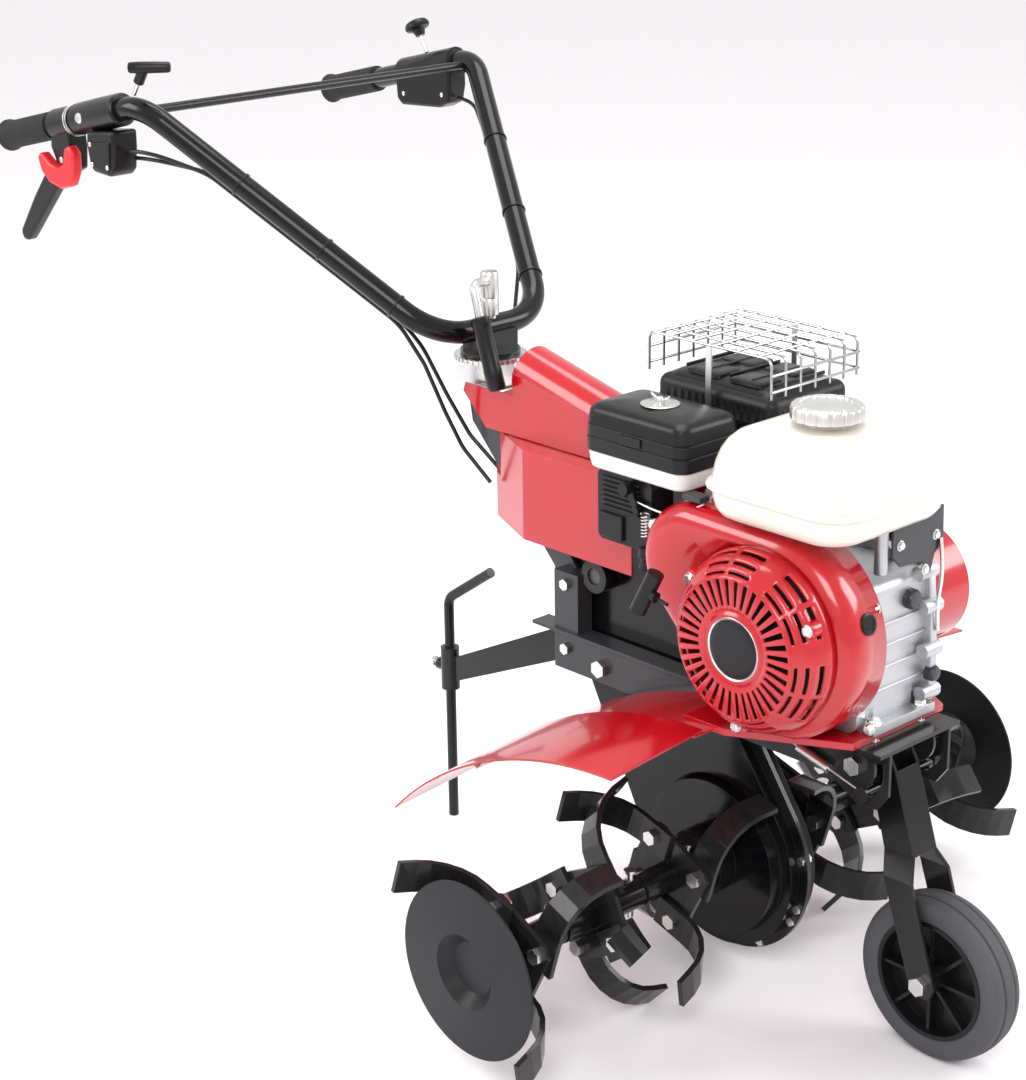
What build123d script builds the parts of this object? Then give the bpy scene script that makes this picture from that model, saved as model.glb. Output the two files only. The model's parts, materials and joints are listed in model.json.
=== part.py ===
from build123d import *

import os
from math import cos, radians, sin, tan

# A walk-behind petrol tiller, in millimetres.
# z = 0 is the ground, x = 0 the mid-plane (the machine's right side is -x),
# y = 0 the rotor axle; the transport wheel is towards -y and the operator towards +y.
# The finished pieces are written with y = 0 at the middle of the whole length.

# ---------------------------------------------------------------- driving dimensions
RUN = 0.06                      # radial clearance of a running fit
FIT = 0.05                      # radial clearance of a bolt in its hole

AXLE_Z = 134.0                  # rotor axle above the ground
HUB_X = (103.0, 223.0, 343.0)   # planes of the three tine plates on each side
HUB_PHASE = (72.0, 18.0, 72.0)  # angle of each plate's first bolt
BOLT_R = 49.0                   # tine bolts from the axle
PLATE_SIDE, PLATE_T = 98.0, 6.0
SHAFT_R, HUB_TUBE_R = 12.5, 18.0
TINE_W, TINE_T = 35.0, 6.0
TINE_LEAN = 55.0                # angle between a plate's radius and its tine
TINE_ROOT, TINE_STRAIGHT = 24.0, 18.0
TINE_BEND_R, TINE_SKEW = 59.0, 13.0
TINE_TIP = 22.0                 # straight run after the bend
DISC_X, DISC_R = 404.0, 98.4
PIN_X = (72.0, 163.0, 283.0)    # cross pins that hold the hubs on the shaft

SHAFT_IN = (178.0, 428.0)       # y, z of the input shaft
CASE_LOW_R, CASE_TOP_R = 119.0, 98.0
CASE_HALF, NECK_HALF = 34.0, 20.0
SHEET = 2.5                     # stamped sheet thickness
BOSS_X = 60.0                   # end of the output bosses

CRANK = (-148.0, 468.0)         # y, z of the crankshaft
BASE_Z = 362.0                  # engine's mounting face
FOOT_X, FOOT_Y = 75.5, 162.0    # engine's mounting bolt spacing
ENGINE_FEET_Y = (CRANK[0] - FOOT_Y / 2, CRANK[0] + FOOT_Y / 2)
PULLEY_X = (92.0, 118.0)
DRIVE_R, DRIVEN_R = 32.0, 90.0
WEB_DEPTH = 9.0                 # recess on each face of the driven pulley
COVER_X = (78.0, 134.0)         # belt cover, open towards the engine
IDLER_PIVOT, IDLER = (50.0, 450.0), (10.0, 422.0)

RAIL_X, RAIL_Z = 47.0, (303.0, 348.0)
POST_Y = (199.0, 238.0)
WHEEL_Y, WHEEL_R, WHEEL_W = -301.0, 92.6, 44.0
FORK_PIVOT = (-218.0, 326.0)
BRACKET_X = (47.2, 51.0)        # front bracket's side plates
PIN_ARC_R, PIN_ANGLE = 31.0, 239.0  # the fork's stop pin from its pivot

BAR_Y, BAR_R = 481.0, 6.5       # depth bar
CLAMP_Y = 394.0                 # axis of the handlebar clamp
TUBE_R, TUBE_WALL = 13.5, 2.0
BAR_LOW = (82.0, 394.0, 677.0)  # handlebar's corners
BAR_HIGH = (262.0, 707.0, 935.0)
BAR_END = (259.0, 1007.0, 865.0)
TILT_PIVOT = (385.0, 596.0)

MID_LENGTH = 311.0              # the middle of the whole length, from the rotor axle

os.makedirs("parts", exist_ok=True)


# ---------------------------------------------------------------- helpers
def write_piece(piece, name):
    """Move a finished piece to the middle of the length, label it and write its STEP file."""
    finished = piece.part.moved(Location((0, -MID_LENGTH, 0)))
    finished.label = name
    export_step(finished, f"parts/{name}.step")


def block(x, y, z, mode=Mode.ADD):
    """Box between two limits on each axis."""
    with Locations(((x[0] + x[1]) / 2, (y[0] + y[1]) / 2, (z[0] + z[1]) / 2)):
        Box(x[1] - x[0], y[1] - y[0], z[1] - z[0], mode=mode)


def rounded_hollow(x, y, z, side, top=0.0, bottom=0.0):
    """Remove a box with rounded edges, so that a wall keeps its thickness round the corners."""
    with BuildPart(mode=Mode.PRIVATE) as hollow:
        block(x, y, z)
        fillet(hollow.edges().filter_by(Axis.Z), side)
        if top:
            fillet(hollow.faces().sort_by(Axis.Z)[-1].edges(), top)
        if bottom:
            fillet(hollow.faces().sort_by(Axis.Z)[0].edges(), bottom)
    add(hollow.part, mode=Mode.SUBTRACT)


def rod(start, end, radius, mode=Mode.ADD):
    """Round bar between two points."""
    run = Vector(*end) - Vector(*start)
    with BuildSketch(Plane(origin=start, z_dir=run)) as section:
        Circle(radius)
    extrude(section.sketch, amount=run.length, mode=mode)


def cone(start, end, radius, end_radius, mode=Mode.ADD):
    """Tapered round bar between two points."""
    run = Vector(*end) - Vector(*start)
    with BuildSketch(Plane(origin=start, z_dir=run)) as first:
        Circle(radius)
    with BuildSketch(Plane(origin=end, z_dir=run)) as last:
        Circle(end_radius)
    loft([first.sketch, last.sketch], mode=mode)


def side_plate(outline, x, mode=Mode.ADD):
    """Plate whose outline is in (y, z), between two x limits."""
    with BuildSketch(Plane.YZ.offset(x[0])) as section:
        with BuildLine():
            Polyline(*outline, close=True)
        make_face()
    extrude(section.sketch, amount=x[1] - x[0], mode=mode)


def flat_plate(outline, z, mode=Mode.ADD):
    """Plate whose outline is in (x, y), between two z limits."""
    with BuildSketch(Plane.XY.offset(z[0])) as section:
        with BuildLine():
            Polyline(*outline, close=True)
        make_face()
    extrude(section.sketch, amount=z[1] - z[0], mode=mode)


def two_circles(x, first, second, mode=Mode.ADD, taper=0.0):
    """Prism between two x limits whose outline wraps two circles, each (y, z, radius)."""
    with BuildSketch(Plane.YZ.offset(x[0])) as section:
        with BuildLine():
            for y, z, radius in (first, second):
                CenterArc((y, z), radius, 0, 360)
        make_hull()
    extrude(section.sketch, amount=x[1] - x[0], mode=mode, taper=taper)


def bent_bar(points, radii, radius, bore=0.0):
    """Round bar or tube along straight runs joined by tangent arcs."""
    with BuildLine() as path:
        FilletPolyline(*points, radius=radii)
    with BuildSketch(Plane(origin=path.line @ 0, z_dir=path.line % 0)) as section:
        Circle(radius)
        if bore:
            Circle(bore, mode=Mode.SUBTRACT)
    sweep(section.sketch, path=path.line)


def hex_bolt(head, tip, radius, nut=True):
    """Hexagon bolt with its head's seat at one point and its nut's seat at the other."""
    axis = Vector(*tip) - Vector(*head)
    back = Vector(*head) - axis.normalized() * (1.3 * radius)
    with BuildSketch(Plane(origin=back, z_dir=axis)) as hexagon:
        RegularPolygon(1.8 * radius, 6)
    extrude(hexagon.sketch, amount=1.3 * radius)
    rod(head, tip, radius)
    if nut:
        with BuildSketch(Plane(origin=tip, z_dir=axis)) as hexagon:
            RegularPolygon(1.8 * radius, 6)
        extrude(hexagon.sketch, amount=1.6 * radius)


def mirrored(piece):
    """The same part on the other side of the mid-plane."""
    with BuildPart() as other:
        add(piece.part)
        mirror(about=Plane.YZ, mode=Mode.REPLACE)
    return other


# ---------------------------------------------------------------- rotor: hubs, tines, discs
def hub_plane(x, angle):
    """Plane across the axle whose local x axis points at an angle from +y towards +z."""
    direction = (0, cos(radians(angle)), sin(radians(angle)))
    return Plane(origin=(x, 0, AXLE_Z), x_dir=direction, z_dir=(1, 0, 0))


def tine(outward):
    """Tine bolted at a plate's first bolt; it leans back and curls along the axle.

    Local frame: x along the plate's radius, z along the axle, curling to +z or -z.
    """
    lean, skew = radians(TINE_LEAN), radians(TINE_SKEW)
    along = Vector(cos(lean), -sin(lean), 0)
    across = Vector(sin(lean), cos(lean), 0)
    bend_to = along * cos(skew) - across * sin(skew)
    bend_axis = along * sin(skew) + across * cos(skew)
    curl = Vector(0, 0, outward)
    bolt = Vector(BOLT_R, 0, outward * (PLATE_T + TINE_T) / 2)
    turn = 80.0
    steps = 5
    stations = [(bolt - along * TINE_ROOT, 0.0), (bolt + along * TINE_STRAIGHT, 0.0)]
    start = stations[-1][0]
    for step in range(1, steps + 1):
        angle = radians(turn * step / steps)
        place = start + bend_to * (TINE_BEND_R * sin(angle))
        place += curl * (TINE_BEND_R * (1 - cos(angle)))
        drift = bend_axis * (TINE_BEND_R * angle * tan(skew))
        stations.append((place + drift, angle))
    last_angle = radians(turn)
    heading = (bend_to * cos(last_angle) + curl * sin(last_angle)) + bend_axis * tan(skew)
    stations.append((stations[-1][0] + heading.normalized() * TINE_TIP, last_angle))
    with BuildPart() as bar:
        for place, angle in stations:
            bent = bend_to * cos(angle) + curl * sin(angle)
            ahead = (bent + bend_axis * tan(skew)).normalized()
            normal = bend_to * -sin(angle) + curl * cos(angle)
            with BuildSketch(Plane(origin=place, x_dir=ahead.cross(normal), z_dir=ahead)):
                Rectangle(TINE_W, TINE_T)
        loft(ruled=True)
        with BuildSketch(Plane(origin=(BOLT_R, 0, -PLATE_T * 2))):
            Circle(5 + FIT)
        extrude(amount=PLATE_T * 4, mode=Mode.SUBTRACT)
    return bar.part


tine_shapes = {1: tine(1), -1: tine(-1)}


def tine_places(side):
    """Each tine's plane and the way it curls, for one side of the machine."""
    for x, phase in zip(HUB_X, HUB_PHASE):
        for quarter in range(4):
            outward = side if quarter % 2 == 0 else -side
            yield hub_plane(side * x, phase + 90 * quarter), outward


with BuildPart() as tines:
    for side in (-1, 1):
        for place, outward in tine_places(side):
            add(tine_shapes[outward].moved(place.location))
write_piece(tines, "tines")

with BuildPart() as tine_hubs:
    for side in (-1, 1):
        for index, (x, phase) in enumerate(zip(HUB_X, HUB_PHASE)):
            inner = -41.0 if index == 0 else -68.0
            plane = hub_plane(side * x, phase)
            with BuildSketch(plane.offset(-PLATE_T / 2)):
                Rectangle(PLATE_SIDE, PLATE_SIDE, rotation=45)
                chamfer(vertices(), 9)
                with PolarLocations(BOLT_R, 4):
                    Circle(5 + FIT, mode=Mode.SUBTRACT)
            extrude(amount=PLATE_T)
            ends = sorted((side * (x + inner), side * (x + 48)))
            with BuildSketch(Plane.YZ.offset(ends[0])):
                with Locations((0, AXLE_Z)):
                    Circle(HUB_TUBE_R)
            extrude(amount=ends[1] - ends[0])
            with BuildSketch(Plane.YZ.offset(ends[0])):
                with Locations((0, AXLE_Z)):
                    Circle(SHAFT_R + FIT)
            extrude(amount=ends[1] - ends[0], mode=Mode.SUBTRACT)
        for x in PIN_X:
            rod((side * x, 0, AXLE_Z - 40), (side * x, 0, AXLE_Z + 40), 4 + FIT, Mode.SUBTRACT)
write_piece(tine_hubs, "tine_hubs")

with BuildPart() as tine_bolts:
    for side in (-1, 1):
        for place, outward in tine_places(side):
            origin = place.origin + place.x_dir * BOLT_R
            head = origin + Vector(1, 0, 0) * (outward * (PLATE_T / 2 + TINE_T))
            tip = origin - Vector(1, 0, 0) * (outward * PLATE_T / 2)
            hex_bolt(head, tip, 5)
write_piece(tine_bolts, "tine_bolts")

with BuildPart() as output_shaft:
    rod((-392, 0, AXLE_Z), (392, 0, AXLE_Z), SHAFT_R)
    for side in (-1, 1):
        for x in PIN_X:
            rod((side * x, 0, AXLE_Z - 40), (side * x, 0, AXLE_Z + 40), 4 + FIT, Mode.SUBTRACT)
    teeth = 36
    with BuildSketch(Plane.YZ.offset(-4)):
        with Locations((0, AXLE_Z)):
            Circle(71)
            Circle(SHAFT_R - 1, mode=Mode.SUBTRACT)
            with PolarLocations(72.8, teeth):
                Circle(4.0, mode=Mode.SUBTRACT)
    extrude(amount=8)
write_piece(output_shaft, "output_shaft")

with BuildPart() as hub_pins:
    for side in (-1, 1):
        for x in PIN_X:
            top = AXLE_Z + HUB_TUBE_R + 9
            rod((side * x, 0, AXLE_Z - HUB_TUBE_R - 9), (side * x, 0, top), 4)
            with BuildSketch(Plane.XY.offset(top)):
                with Locations((side * x, 0)):
                    Circle(7)
            extrude(amount=3)
write_piece(hub_pins, "hub_pins")

with BuildPart() as side_discs:
    for side in (-1, 1):
        with BuildSketch(Plane.XY) as dish:
            with BuildLine():
                Polyline(
                    (0, 392.3), (30, 392.3), (43, 405.5), (DISC_R, DISC_X - 2.5), (DISC_R, DISC_X),
                    (42, 408), (29, 394.8), (0, 394.8), close=True,
                )
            make_face()
        add(revolve(dish.sketch, axis=Axis.Y, mode=Mode.PRIVATE).moved(
            Plane(origin=(0, 0, AXLE_Z), x_dir=(0, -side, 0), z_dir=(0, 0, 1)).location))
write_piece(side_discs, "side_discs")

# ---------------------------------------------------------------- chain case
def case_half():
    """Right-hand stamped half of the chain case, with its flange, bulge and bosses."""
    low, top = (0, AXLE_Z), SHAFT_IN
    with BuildPart() as half:
        two_circles((-3, 0), (*low, CASE_LOW_R), (*top, CASE_TOP_R))
        two_circles((-3, -NECK_HALF), (*low, CASE_LOW_R - 13), (*top, CASE_TOP_R - 13), taper=-12)
        with BuildSketch(Plane.YZ.offset(-3)):
            with Locations(low):
                Circle(CASE_LOW_R - 19)
        extrude(amount=-(CASE_HALF - 3), taper=14)
        rod((-CASE_HALF + 1, *low), (-BOSS_X, *low), 40)
        rod((-NECK_HALF + 1, *top), (-42, *top), 20)
        inner = NECK_HALF - SHEET
        two_circles((0, -inner), (*low, CASE_LOW_R - 17), (*top, CASE_TOP_R - 17),
                    Mode.SUBTRACT)
        with BuildSketch(Plane.YZ):
            with Locations(low):
                Circle(CASE_LOW_R - 22)
        extrude(amount=-(CASE_HALF - SHEET), taper=14, mode=Mode.SUBTRACT)
        rod((0, *low), (-BOSS_X - 1, *low), SHAFT_R + RUN, Mode.SUBTRACT)
        rod((0, *top), (-43, *top), 10 + RUN, Mode.SUBTRACT)
        for y, z in case_bolt_places():
            rod((1, y, z), (-4, y, z), 3 + FIT, Mode.SUBTRACT)
    return half


def case_bolt_places():
    """Flange bolts: around the lower round and up both sides of the neck."""
    ring = CASE_LOW_R - 6.5
    for angle in (-150, -118, -86, -54, -22, 10, 168, 200):
        yield ring * cos(radians(angle)), AXLE_Z + ring * sin(radians(angle))
    for along in (0.38, 0.68):
        for side in (-1, 1):
            wide = (CASE_LOW_R + (CASE_TOP_R - CASE_LOW_R) * along - 6.5) * side
            run = Vector(SHAFT_IN[0], SHAFT_IN[1] - AXLE_Z, 0)
            place = run * along + Vector(run.Y, -run.X, 0).normalized() * wide
            yield place.X, AXLE_Z + place.Y


case_right = case_half()
write_piece(case_right, "chain_case_right")
write_piece(mirrored(case_right), "chain_case_left")

# ---------------------------------------------------------------- belt and chain drive
def pulley(x, centre, radius, bore=0.0):
    """V-belt pulley between two x limits with a flat-bottomed groove."""
    rod((x[0], *centre), (x[1], *centre), radius)
    middle = (x[0] + x[1]) / 2
    with BuildSketch(Plane.YZ.offset(middle - 8)) as groove:
        with Locations(centre):
            Circle(radius + 1)
            Circle(radius - 12, mode=Mode.SUBTRACT)
    extrude(groove.sketch, amount=16, mode=Mode.SUBTRACT)
    if bore:
        rod((x[0] - 1, *centre), (x[1] + 1, *centre), bore, Mode.SUBTRACT)


with BuildPart() as drive_pulley:
    pulley(PULLEY_X, CRANK, DRIVE_R, 10 + FIT)
write_piece(drive_pulley, "drive_pulley")

with BuildPart() as driven_pulley:
    pulley(PULLEY_X, SHAFT_IN, DRIVEN_R)
    for face in (PULLEY_X[0], PULLEY_X[1] - WEB_DEPTH):
        with BuildSketch(Plane.YZ.offset(face)) as dish:
            with Locations(SHAFT_IN):
                Circle(DRIVEN_R - 20)
                Circle(24, mode=Mode.SUBTRACT)
        extrude(dish.sketch, amount=WEB_DEPTH, mode=Mode.SUBTRACT)
    rod((-39, *SHAFT_IN), (PULLEY_X[1] + 4, *SHAFT_IN), 10)
    with BuildSketch(Plane.YZ.offset(-4)):
        with Locations(SHAFT_IN):
            Circle(17)
            with PolarLocations(18.6, 9):
                Circle(4.0, mode=Mode.SUBTRACT)
    extrude(amount=8)
write_piece(driven_pulley, "driven_pulley")

belt_x = (sum(PULLEY_X) / 2 - 6.5, sum(PULLEY_X) / 2 + 6.5)
with BuildPart() as drive_belt:
    two_circles(belt_x, (*CRANK, DRIVE_R - 1.5), (*SHAFT_IN, DRIVEN_R - 1.5))
    two_circles(belt_x, (*CRANK, DRIVE_R - 11), (*SHAFT_IN, DRIVEN_R - 11), Mode.SUBTRACT)
write_piece(drive_belt, "drive_belt")

with BuildPart() as drive_chain:
    two_circles((-3.5, 3.5), (0, AXLE_Z, 79), (*SHAFT_IN, 25))
    two_circles((-3.5, 3.5), (0, AXLE_Z, 72), (*SHAFT_IN, 18), Mode.SUBTRACT)
write_piece(drive_chain, "drive_chain")

# ---------------------------------------------------------------- frame
with BuildPart() as main_frame:
    for side in (-1, 1):
        web = sorted((side * RAIL_X, side * (RAIL_X - 4)))
        shelf = sorted((side * (RAIL_X + 4), side * 24.0))
        block(web, (-205, POST_Y[1]), RAIL_Z)
        block(shelf, (-205, 272), (RAIL_Z[1], RAIL_Z[1] + 4))
        post = sorted((side * RAIL_X, side * 24.0))
        block(post, POST_Y, (RAIL_Z[0], 424))
        block(sorted((side * (RAIL_X - 4), side * 28.0)), (POST_Y[0] + 4, POST_Y[1] - 4),
              (RAIL_Z[1] + 8, 420), Mode.SUBTRACT)
        cheek = sorted((side * 22.5, side * 27.0))
        side_plate([(199, 396), (238, 396), (398, 566), (404, 598), (390, 612), (372, 610)], cheek)
    block((-27, 27), (282, 290), (486, 512))
    block((-RAIL_X, RAIL_X), (POST_Y[1] - 4, POST_Y[1]), RAIL_Z)
    block((-24, 24), (POST_Y[1] - 5, POST_Y[1] + 1), (319, 349), Mode.SUBTRACT)
    for side in (-1, 1):
        rod((side * 42, 160, 322), (side * 48, 160, 322), 6 + FIT, Mode.SUBTRACT)
        for z in (410, 330):
            rod((side * 45, 218, z), (side * 48, 218, z), 4 + FIT, Mode.SUBTRACT)
        foot = (side * FOOT_X / 2, ENGINE_FEET_Y[1])
        rod((*foot, 345), (*foot, 355), 8, Mode.SUBTRACT)
    rod((-40, TILT_PIVOT[0], TILT_PIVOT[1]), (40, TILT_PIVOT[0], TILT_PIVOT[1]), 6 + RUN,
        Mode.SUBTRACT)
write_piece(main_frame, "main_frame")

with BuildPart() as front_bracket:
    for side in (-1, 1):
        side_plate([(-262, 350), (-262, 303), (-248, 284), (-220, 284), (-150, 322),
                    (-150, 347.8), (-205.5, 347.8), (-205.5, 350)],
                   sorted((side * BRACKET_X[0], side * BRACKET_X[1])))
    block((-66, 66), (-262, -205.5), (349.9, 353.8))
    with BuildSketch(Plane.YZ.offset(-60)) as slot:
        with BuildLine():
            CenterArc(FORK_PIVOT, PIN_ARC_R, 160, 92)
        trace(line_width=11.4)
    extrude(slot.sketch, amount=120, mode=Mode.SUBTRACT)
    rod((-60, *FORK_PIVOT), (60, *FORK_PIVOT), 6 + FIT, Mode.SUBTRACT)
    for side in (-1, 1):
        foot = (side * FOOT_X / 2, ENGINE_FEET_Y[0])
        rod((*foot, 345), (*foot, 355), 8, Mode.SUBTRACT)
write_piece(front_bracket, "front_bracket")

FENDER_ARC = ((-97.0, 350.0), (90.0, 309.0), (248.0, 200.0))


def fender_sheet(x, drop, lift):
    """Arched sheet over the tines, between two x limits, dropping outwards."""
    side = 1 if x[1] > x[0] else -1
    rise = Vector(0, lift)
    with BuildSketch(Plane.YZ.offset(x[0])) as section:
        with BuildLine():
            upper = ThreePointArc(*[Vector(*point) + rise for point in FENDER_ARC])
            thick = Vector(0, SHEET)
            lower = ThreePointArc(*[Vector(*point) + rise - thick for point in FENDER_ARC])
            Line(upper @ 0, lower @ 0)
            Line(upper @ 1, lower @ 1)
        make_face()
    extrude(section.sketch, amount=abs(x[1] - x[0]), dir=(side, 0, -drop))


with BuildPart() as engine_plate:
    flat_plate([(-74, -233), (74, -233), (140, -114), (143, -60), (-143, -60), (-140, -114)],
               (354, 361.7))
    block((-58, 58), (-61, -40), (354, 361.7))
    for side in (-1, 1):
        fender_sheet((side * 58, side * 166), 0.0, 6.0)
    for side in (-1, 1):
        for y in ENGINE_FEET_Y:
            rod((side * FOOT_X / 2, y, 350), (side * FOOT_X / 2, y, 365), 4 + FIT, Mode.SUBTRACT)
write_piece(engine_plate, "engine_plate")

with BuildPart() as right_fender:
    fender_sheet((-154, -290), 0.09, 6.0 + SHEET + 1.4)
write_piece(right_fender, "right_fender")
write_piece(mirrored(right_fender), "left_fender")

with BuildPart() as chassis_bolts:
    for y, z in case_bolt_places():
        hex_bolt((-3, y, z), (3, y, z), 3)
    hex_bolt((-BRACKET_X[1], *FORK_PIVOT), (BRACKET_X[1], *FORK_PIVOT), 6)
    for side in (-1, 1):
        hex_bolt((side * 47.2, 160, 322), (side * 43, 160, 322), 6, nut=False)
        for z in (410, 330):
            hex_bolt((side * 47.2, 218, z), (side * 46, 218, z), 4, nut=False)
        for y in ENGINE_FEET_Y:
            hex_bolt((side * FOOT_X / 2, y, 372), (side * FOOT_X / 2, y, 354), 4)
    hex_bolt((0, BAR_Y + 26, 215), (0, BAR_Y + BAR_R + 0.5, 215), 4, nut=False)
write_piece(chassis_bolts, "chassis_bolts")

# ---------------------------------------------------------------- covers
with BuildPart() as column_cover:
    side_plate([(400, 604), (369, 564), (120, 564), (120, 600), (322, 640), (322, 613)], (-32, 32))
    with BuildSketch(Plane(origin=(0, 322, 636), z_dir=(0, -1, -0.247))):
        Circle(32)
    extrude(amount=206)
    side_plate([(408, 602), (369, 564), (322, 564), (322, 613), (404, 613)], (-32, 32))
    side_plate([(395, 602), (366, 562), (110, 562), (110, 598), (320, 638), (320, 611), (390, 611)],
               (-30, 30), Mode.SUBTRACT)
    with BuildSketch(Plane(origin=(0, 320, 636), z_dir=(0, -1, -0.247))):
        Circle(30)
    extrude(amount=206, mode=Mode.SUBTRACT)
    block((-30, 30), (340, 412), (560, 620), Mode.SUBTRACT)
    block((-70, 70), (60, 132), (500, 700), Mode.SUBTRACT)
    block((-70, 70), (60, 420), (500, 563.5), Mode.SUBTRACT)
write_piece(column_cover, "column_cover")

with BuildPart() as gear_cover:
    outline = [(-60, 100), (-60, 276), (-22, 362), (60, 362), (77, 320), (77, 100)]
    inner = [(-58, 98), (-58, 275.5), (-20.5, 360), (59, 360), (75, 319), (75, 98)]
    flat_plate(outline, (454, 563))
    flat_plate(inner, (450, 561), Mode.SUBTRACT)
    for side in (-1, 1):
        block(sorted((side * 22, side * 27.5)), (325, 404), (508, 570), Mode.SUBTRACT)
write_piece(gear_cover, "gear_cover")

with BuildPart() as belt_cover:
    two_circles(COVER_X, (*CRANK, 68), (*SHAFT_IN, 106))
    two_circles((COVER_X[0] - 1, COVER_X[1] - 2), (*CRANK, 66), (*SHAFT_IN, 104), Mode.SUBTRACT)
    rod((COVER_X[0] + 4, *IDLER_PIVOT), (COVER_X[1] - 1, *IDLER_PIVOT), 7)
write_piece(belt_cover, "belt_cover")

# ---------------------------------------------------------------- front wheel
with BuildPart() as wheel_fork:
    for side in (-1, 1):
        upper = sorted((side * 20, side * 16))
        lower = sorted((side * 33, side * 29))
        side_plate([(-234, 338), (-204, 338), (-236, 226), (-274, 226), (-246, 316)], upper)
        side_plate([(-283, 202), (-246, 202), (-284, 92), (-290, 78), (-312, 78), (-318, 92)],
                   lower)
        with BuildSketch(Plane.XY.offset(226)) as upper_cut:
            with Locations((side * 18, -255)):
                Rectangle(4, 38)
        with BuildSketch(Plane.XY.offset(202)) as lower_cut:
            with Locations((side * 31, -264.5)):
                Rectangle(4, 37)
        loft([upper_cut.sketch, lower_cut.sketch])
        rod((side * 16, *FORK_PIVOT), (side * (BRACKET_X[0] - 0.3), *FORK_PIVOT), 10)
    side_plate([(-246, 316), (-242, 316), (-270, 226), (-274, 226)], (-20, 20))
    pin = (FORK_PIVOT[0] + PIN_ARC_R * cos(radians(PIN_ANGLE)),
           FORK_PIVOT[1] + PIN_ARC_R * sin(radians(PIN_ANGLE)))
    rod((-56, *pin), (54, *pin), 5)
    rod((-60, *pin), (-55.5, *pin), 8)
    rod((-50, *FORK_PIVOT), (50, *FORK_PIVOT), 6 + RUN, Mode.SUBTRACT)
    rod((-40, WHEEL_Y, WHEEL_R), (40, WHEEL_Y, WHEEL_R), 6 + FIT, Mode.SUBTRACT)
write_piece(wheel_fork, "wheel_fork")

with BuildPart() as wheel_axle:
    hex_bolt((-33.2, WHEEL_Y, WHEEL_R), (33.2, WHEEL_Y, WHEEL_R), 6)
write_piece(wheel_axle, "wheel_axle")


def wheel_turn(outline):
    """Solid turned about the wheel's axle from an outline in (radius, x)."""
    with BuildPart() as turned:
        with BuildSketch(Plane.XY):
            with BuildLine():
                Polyline(*[(x, radius) for radius, x in outline], close=True)
            make_face()
        revolve(axis=Axis.X)
    return turned.part.moved(Location((0, WHEEL_Y, WHEEL_R)))


RIM_R = 67.0
with BuildPart() as wheel_rim:
    add(wheel_turn([(6 + RUN, -27), (14, -27), (15, -4), (RIM_R - 6, -4), (RIM_R - 5, -21),
                    (RIM_R, -21), (RIM_R, 21), (RIM_R - 5, 21), (RIM_R - 6, 4), (15, 4),
                    (14, 27), (6 + RUN, 27)]))
    for spoke in range(8):
        plane = Plane(origin=(0, WHEEL_Y, WHEEL_R), x_dir=(0, cos(radians(45 * spoke)),
                      sin(radians(45 * spoke))), z_dir=(1, 0, 0))
        with BuildSketch(plane.offset(-17)):
            with Locations((38, 0)):
                Rectangle(50, 4)
        extrude(amount=34)
write_piece(wheel_rim, "wheel_rim")

with BuildPart() as wheel_tyre:
    half = WHEEL_W / 2
    add(wheel_turn([(RIM_R + 0.1, -half + 2), (RIM_R + 12, -half), (WHEEL_R - 7, -half + 1),
                    (WHEEL_R - 1.5, -half + 8), (WHEEL_R, -half + 15), (WHEEL_R, half - 15),
                    (WHEEL_R - 1.5, half - 8), (WHEEL_R - 7, half - 1), (RIM_R + 12, half),
                    (RIM_R + 0.1, half - 2)]))
write_piece(wheel_tyre, "wheel_tyre")

with BuildPart() as fork_spring:
    rod((-57, -146, 325), (-57, -188, 313.5), 5.5)
    rod((-57, -187, 313.8), (-57, pin[0] + 9.2, pin[1] + 4), 1.2)
    rod((-57, -147, 324.7), (-57, -136, 328), 1.2)
    rod((-58, -137, 327.7), (-47.3, -137, 327.7), 1.2)
write_piece(fork_spring, "fork_spring")

# ---------------------------------------------------------------- depth bar
with BuildPart() as depth_bar_bracket:
    side_plate([(250, 341.5), (238.1, 326), (238.1, 303), (472, 198), (472, 231)], (-3, 3))
    rod((0, BAR_Y, 187), (0, BAR_Y, 243), 12)
    rod((0, BAR_Y, 215), (0, BAR_Y + 20, 215), 8)
    rod((0, BAR_Y, 180), (0, BAR_Y, 250), BAR_R + RUN, Mode.SUBTRACT)
    rod((0, BAR_Y, 215), (0, BAR_Y + 22, 215), 4 + FIT, Mode.SUBTRACT)
write_piece(depth_bar_bracket, "depth_bar_bracket")

with BuildPart() as depth_bar:
    bent_bar([(0, BAR_Y, 8), (0, BAR_Y, 309), (0, BAR_Y - 80, 364)], [20], BAR_R)
write_piece(depth_bar, "depth_bar")

# ---------------------------------------------------------------- handlebar clamp
with BuildPart() as head_bracket:
    for side in (-1, 1):
        ear = sorted((side * 21.8, side * 17.8))
        side_plate([(372, 590), (380, 583), (392, 583), (404, 596), (428, 600), (436, 612),
                    (430, 626), (414, 630), (414, 640), (372, 640)], ear)
    block((-24, 24), (366, 424), (636, 640))
    rod((-29, *TILT_PIVOT), (29, *TILT_PIVOT), 6)
    with BuildSketch(Plane.XY.offset(640)):
        with Locations((0, CLAMP_Y)):
            Circle(44)
            with PolarLocations(44, 36):
                Rectangle(5, 3, mode=Mode.SUBTRACT)
    extrude(amount=5)
    rod((0, CLAMP_Y, 638), (0, CLAMP_Y, 702), 8)
write_piece(head_bracket, "head_bracket")

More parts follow.
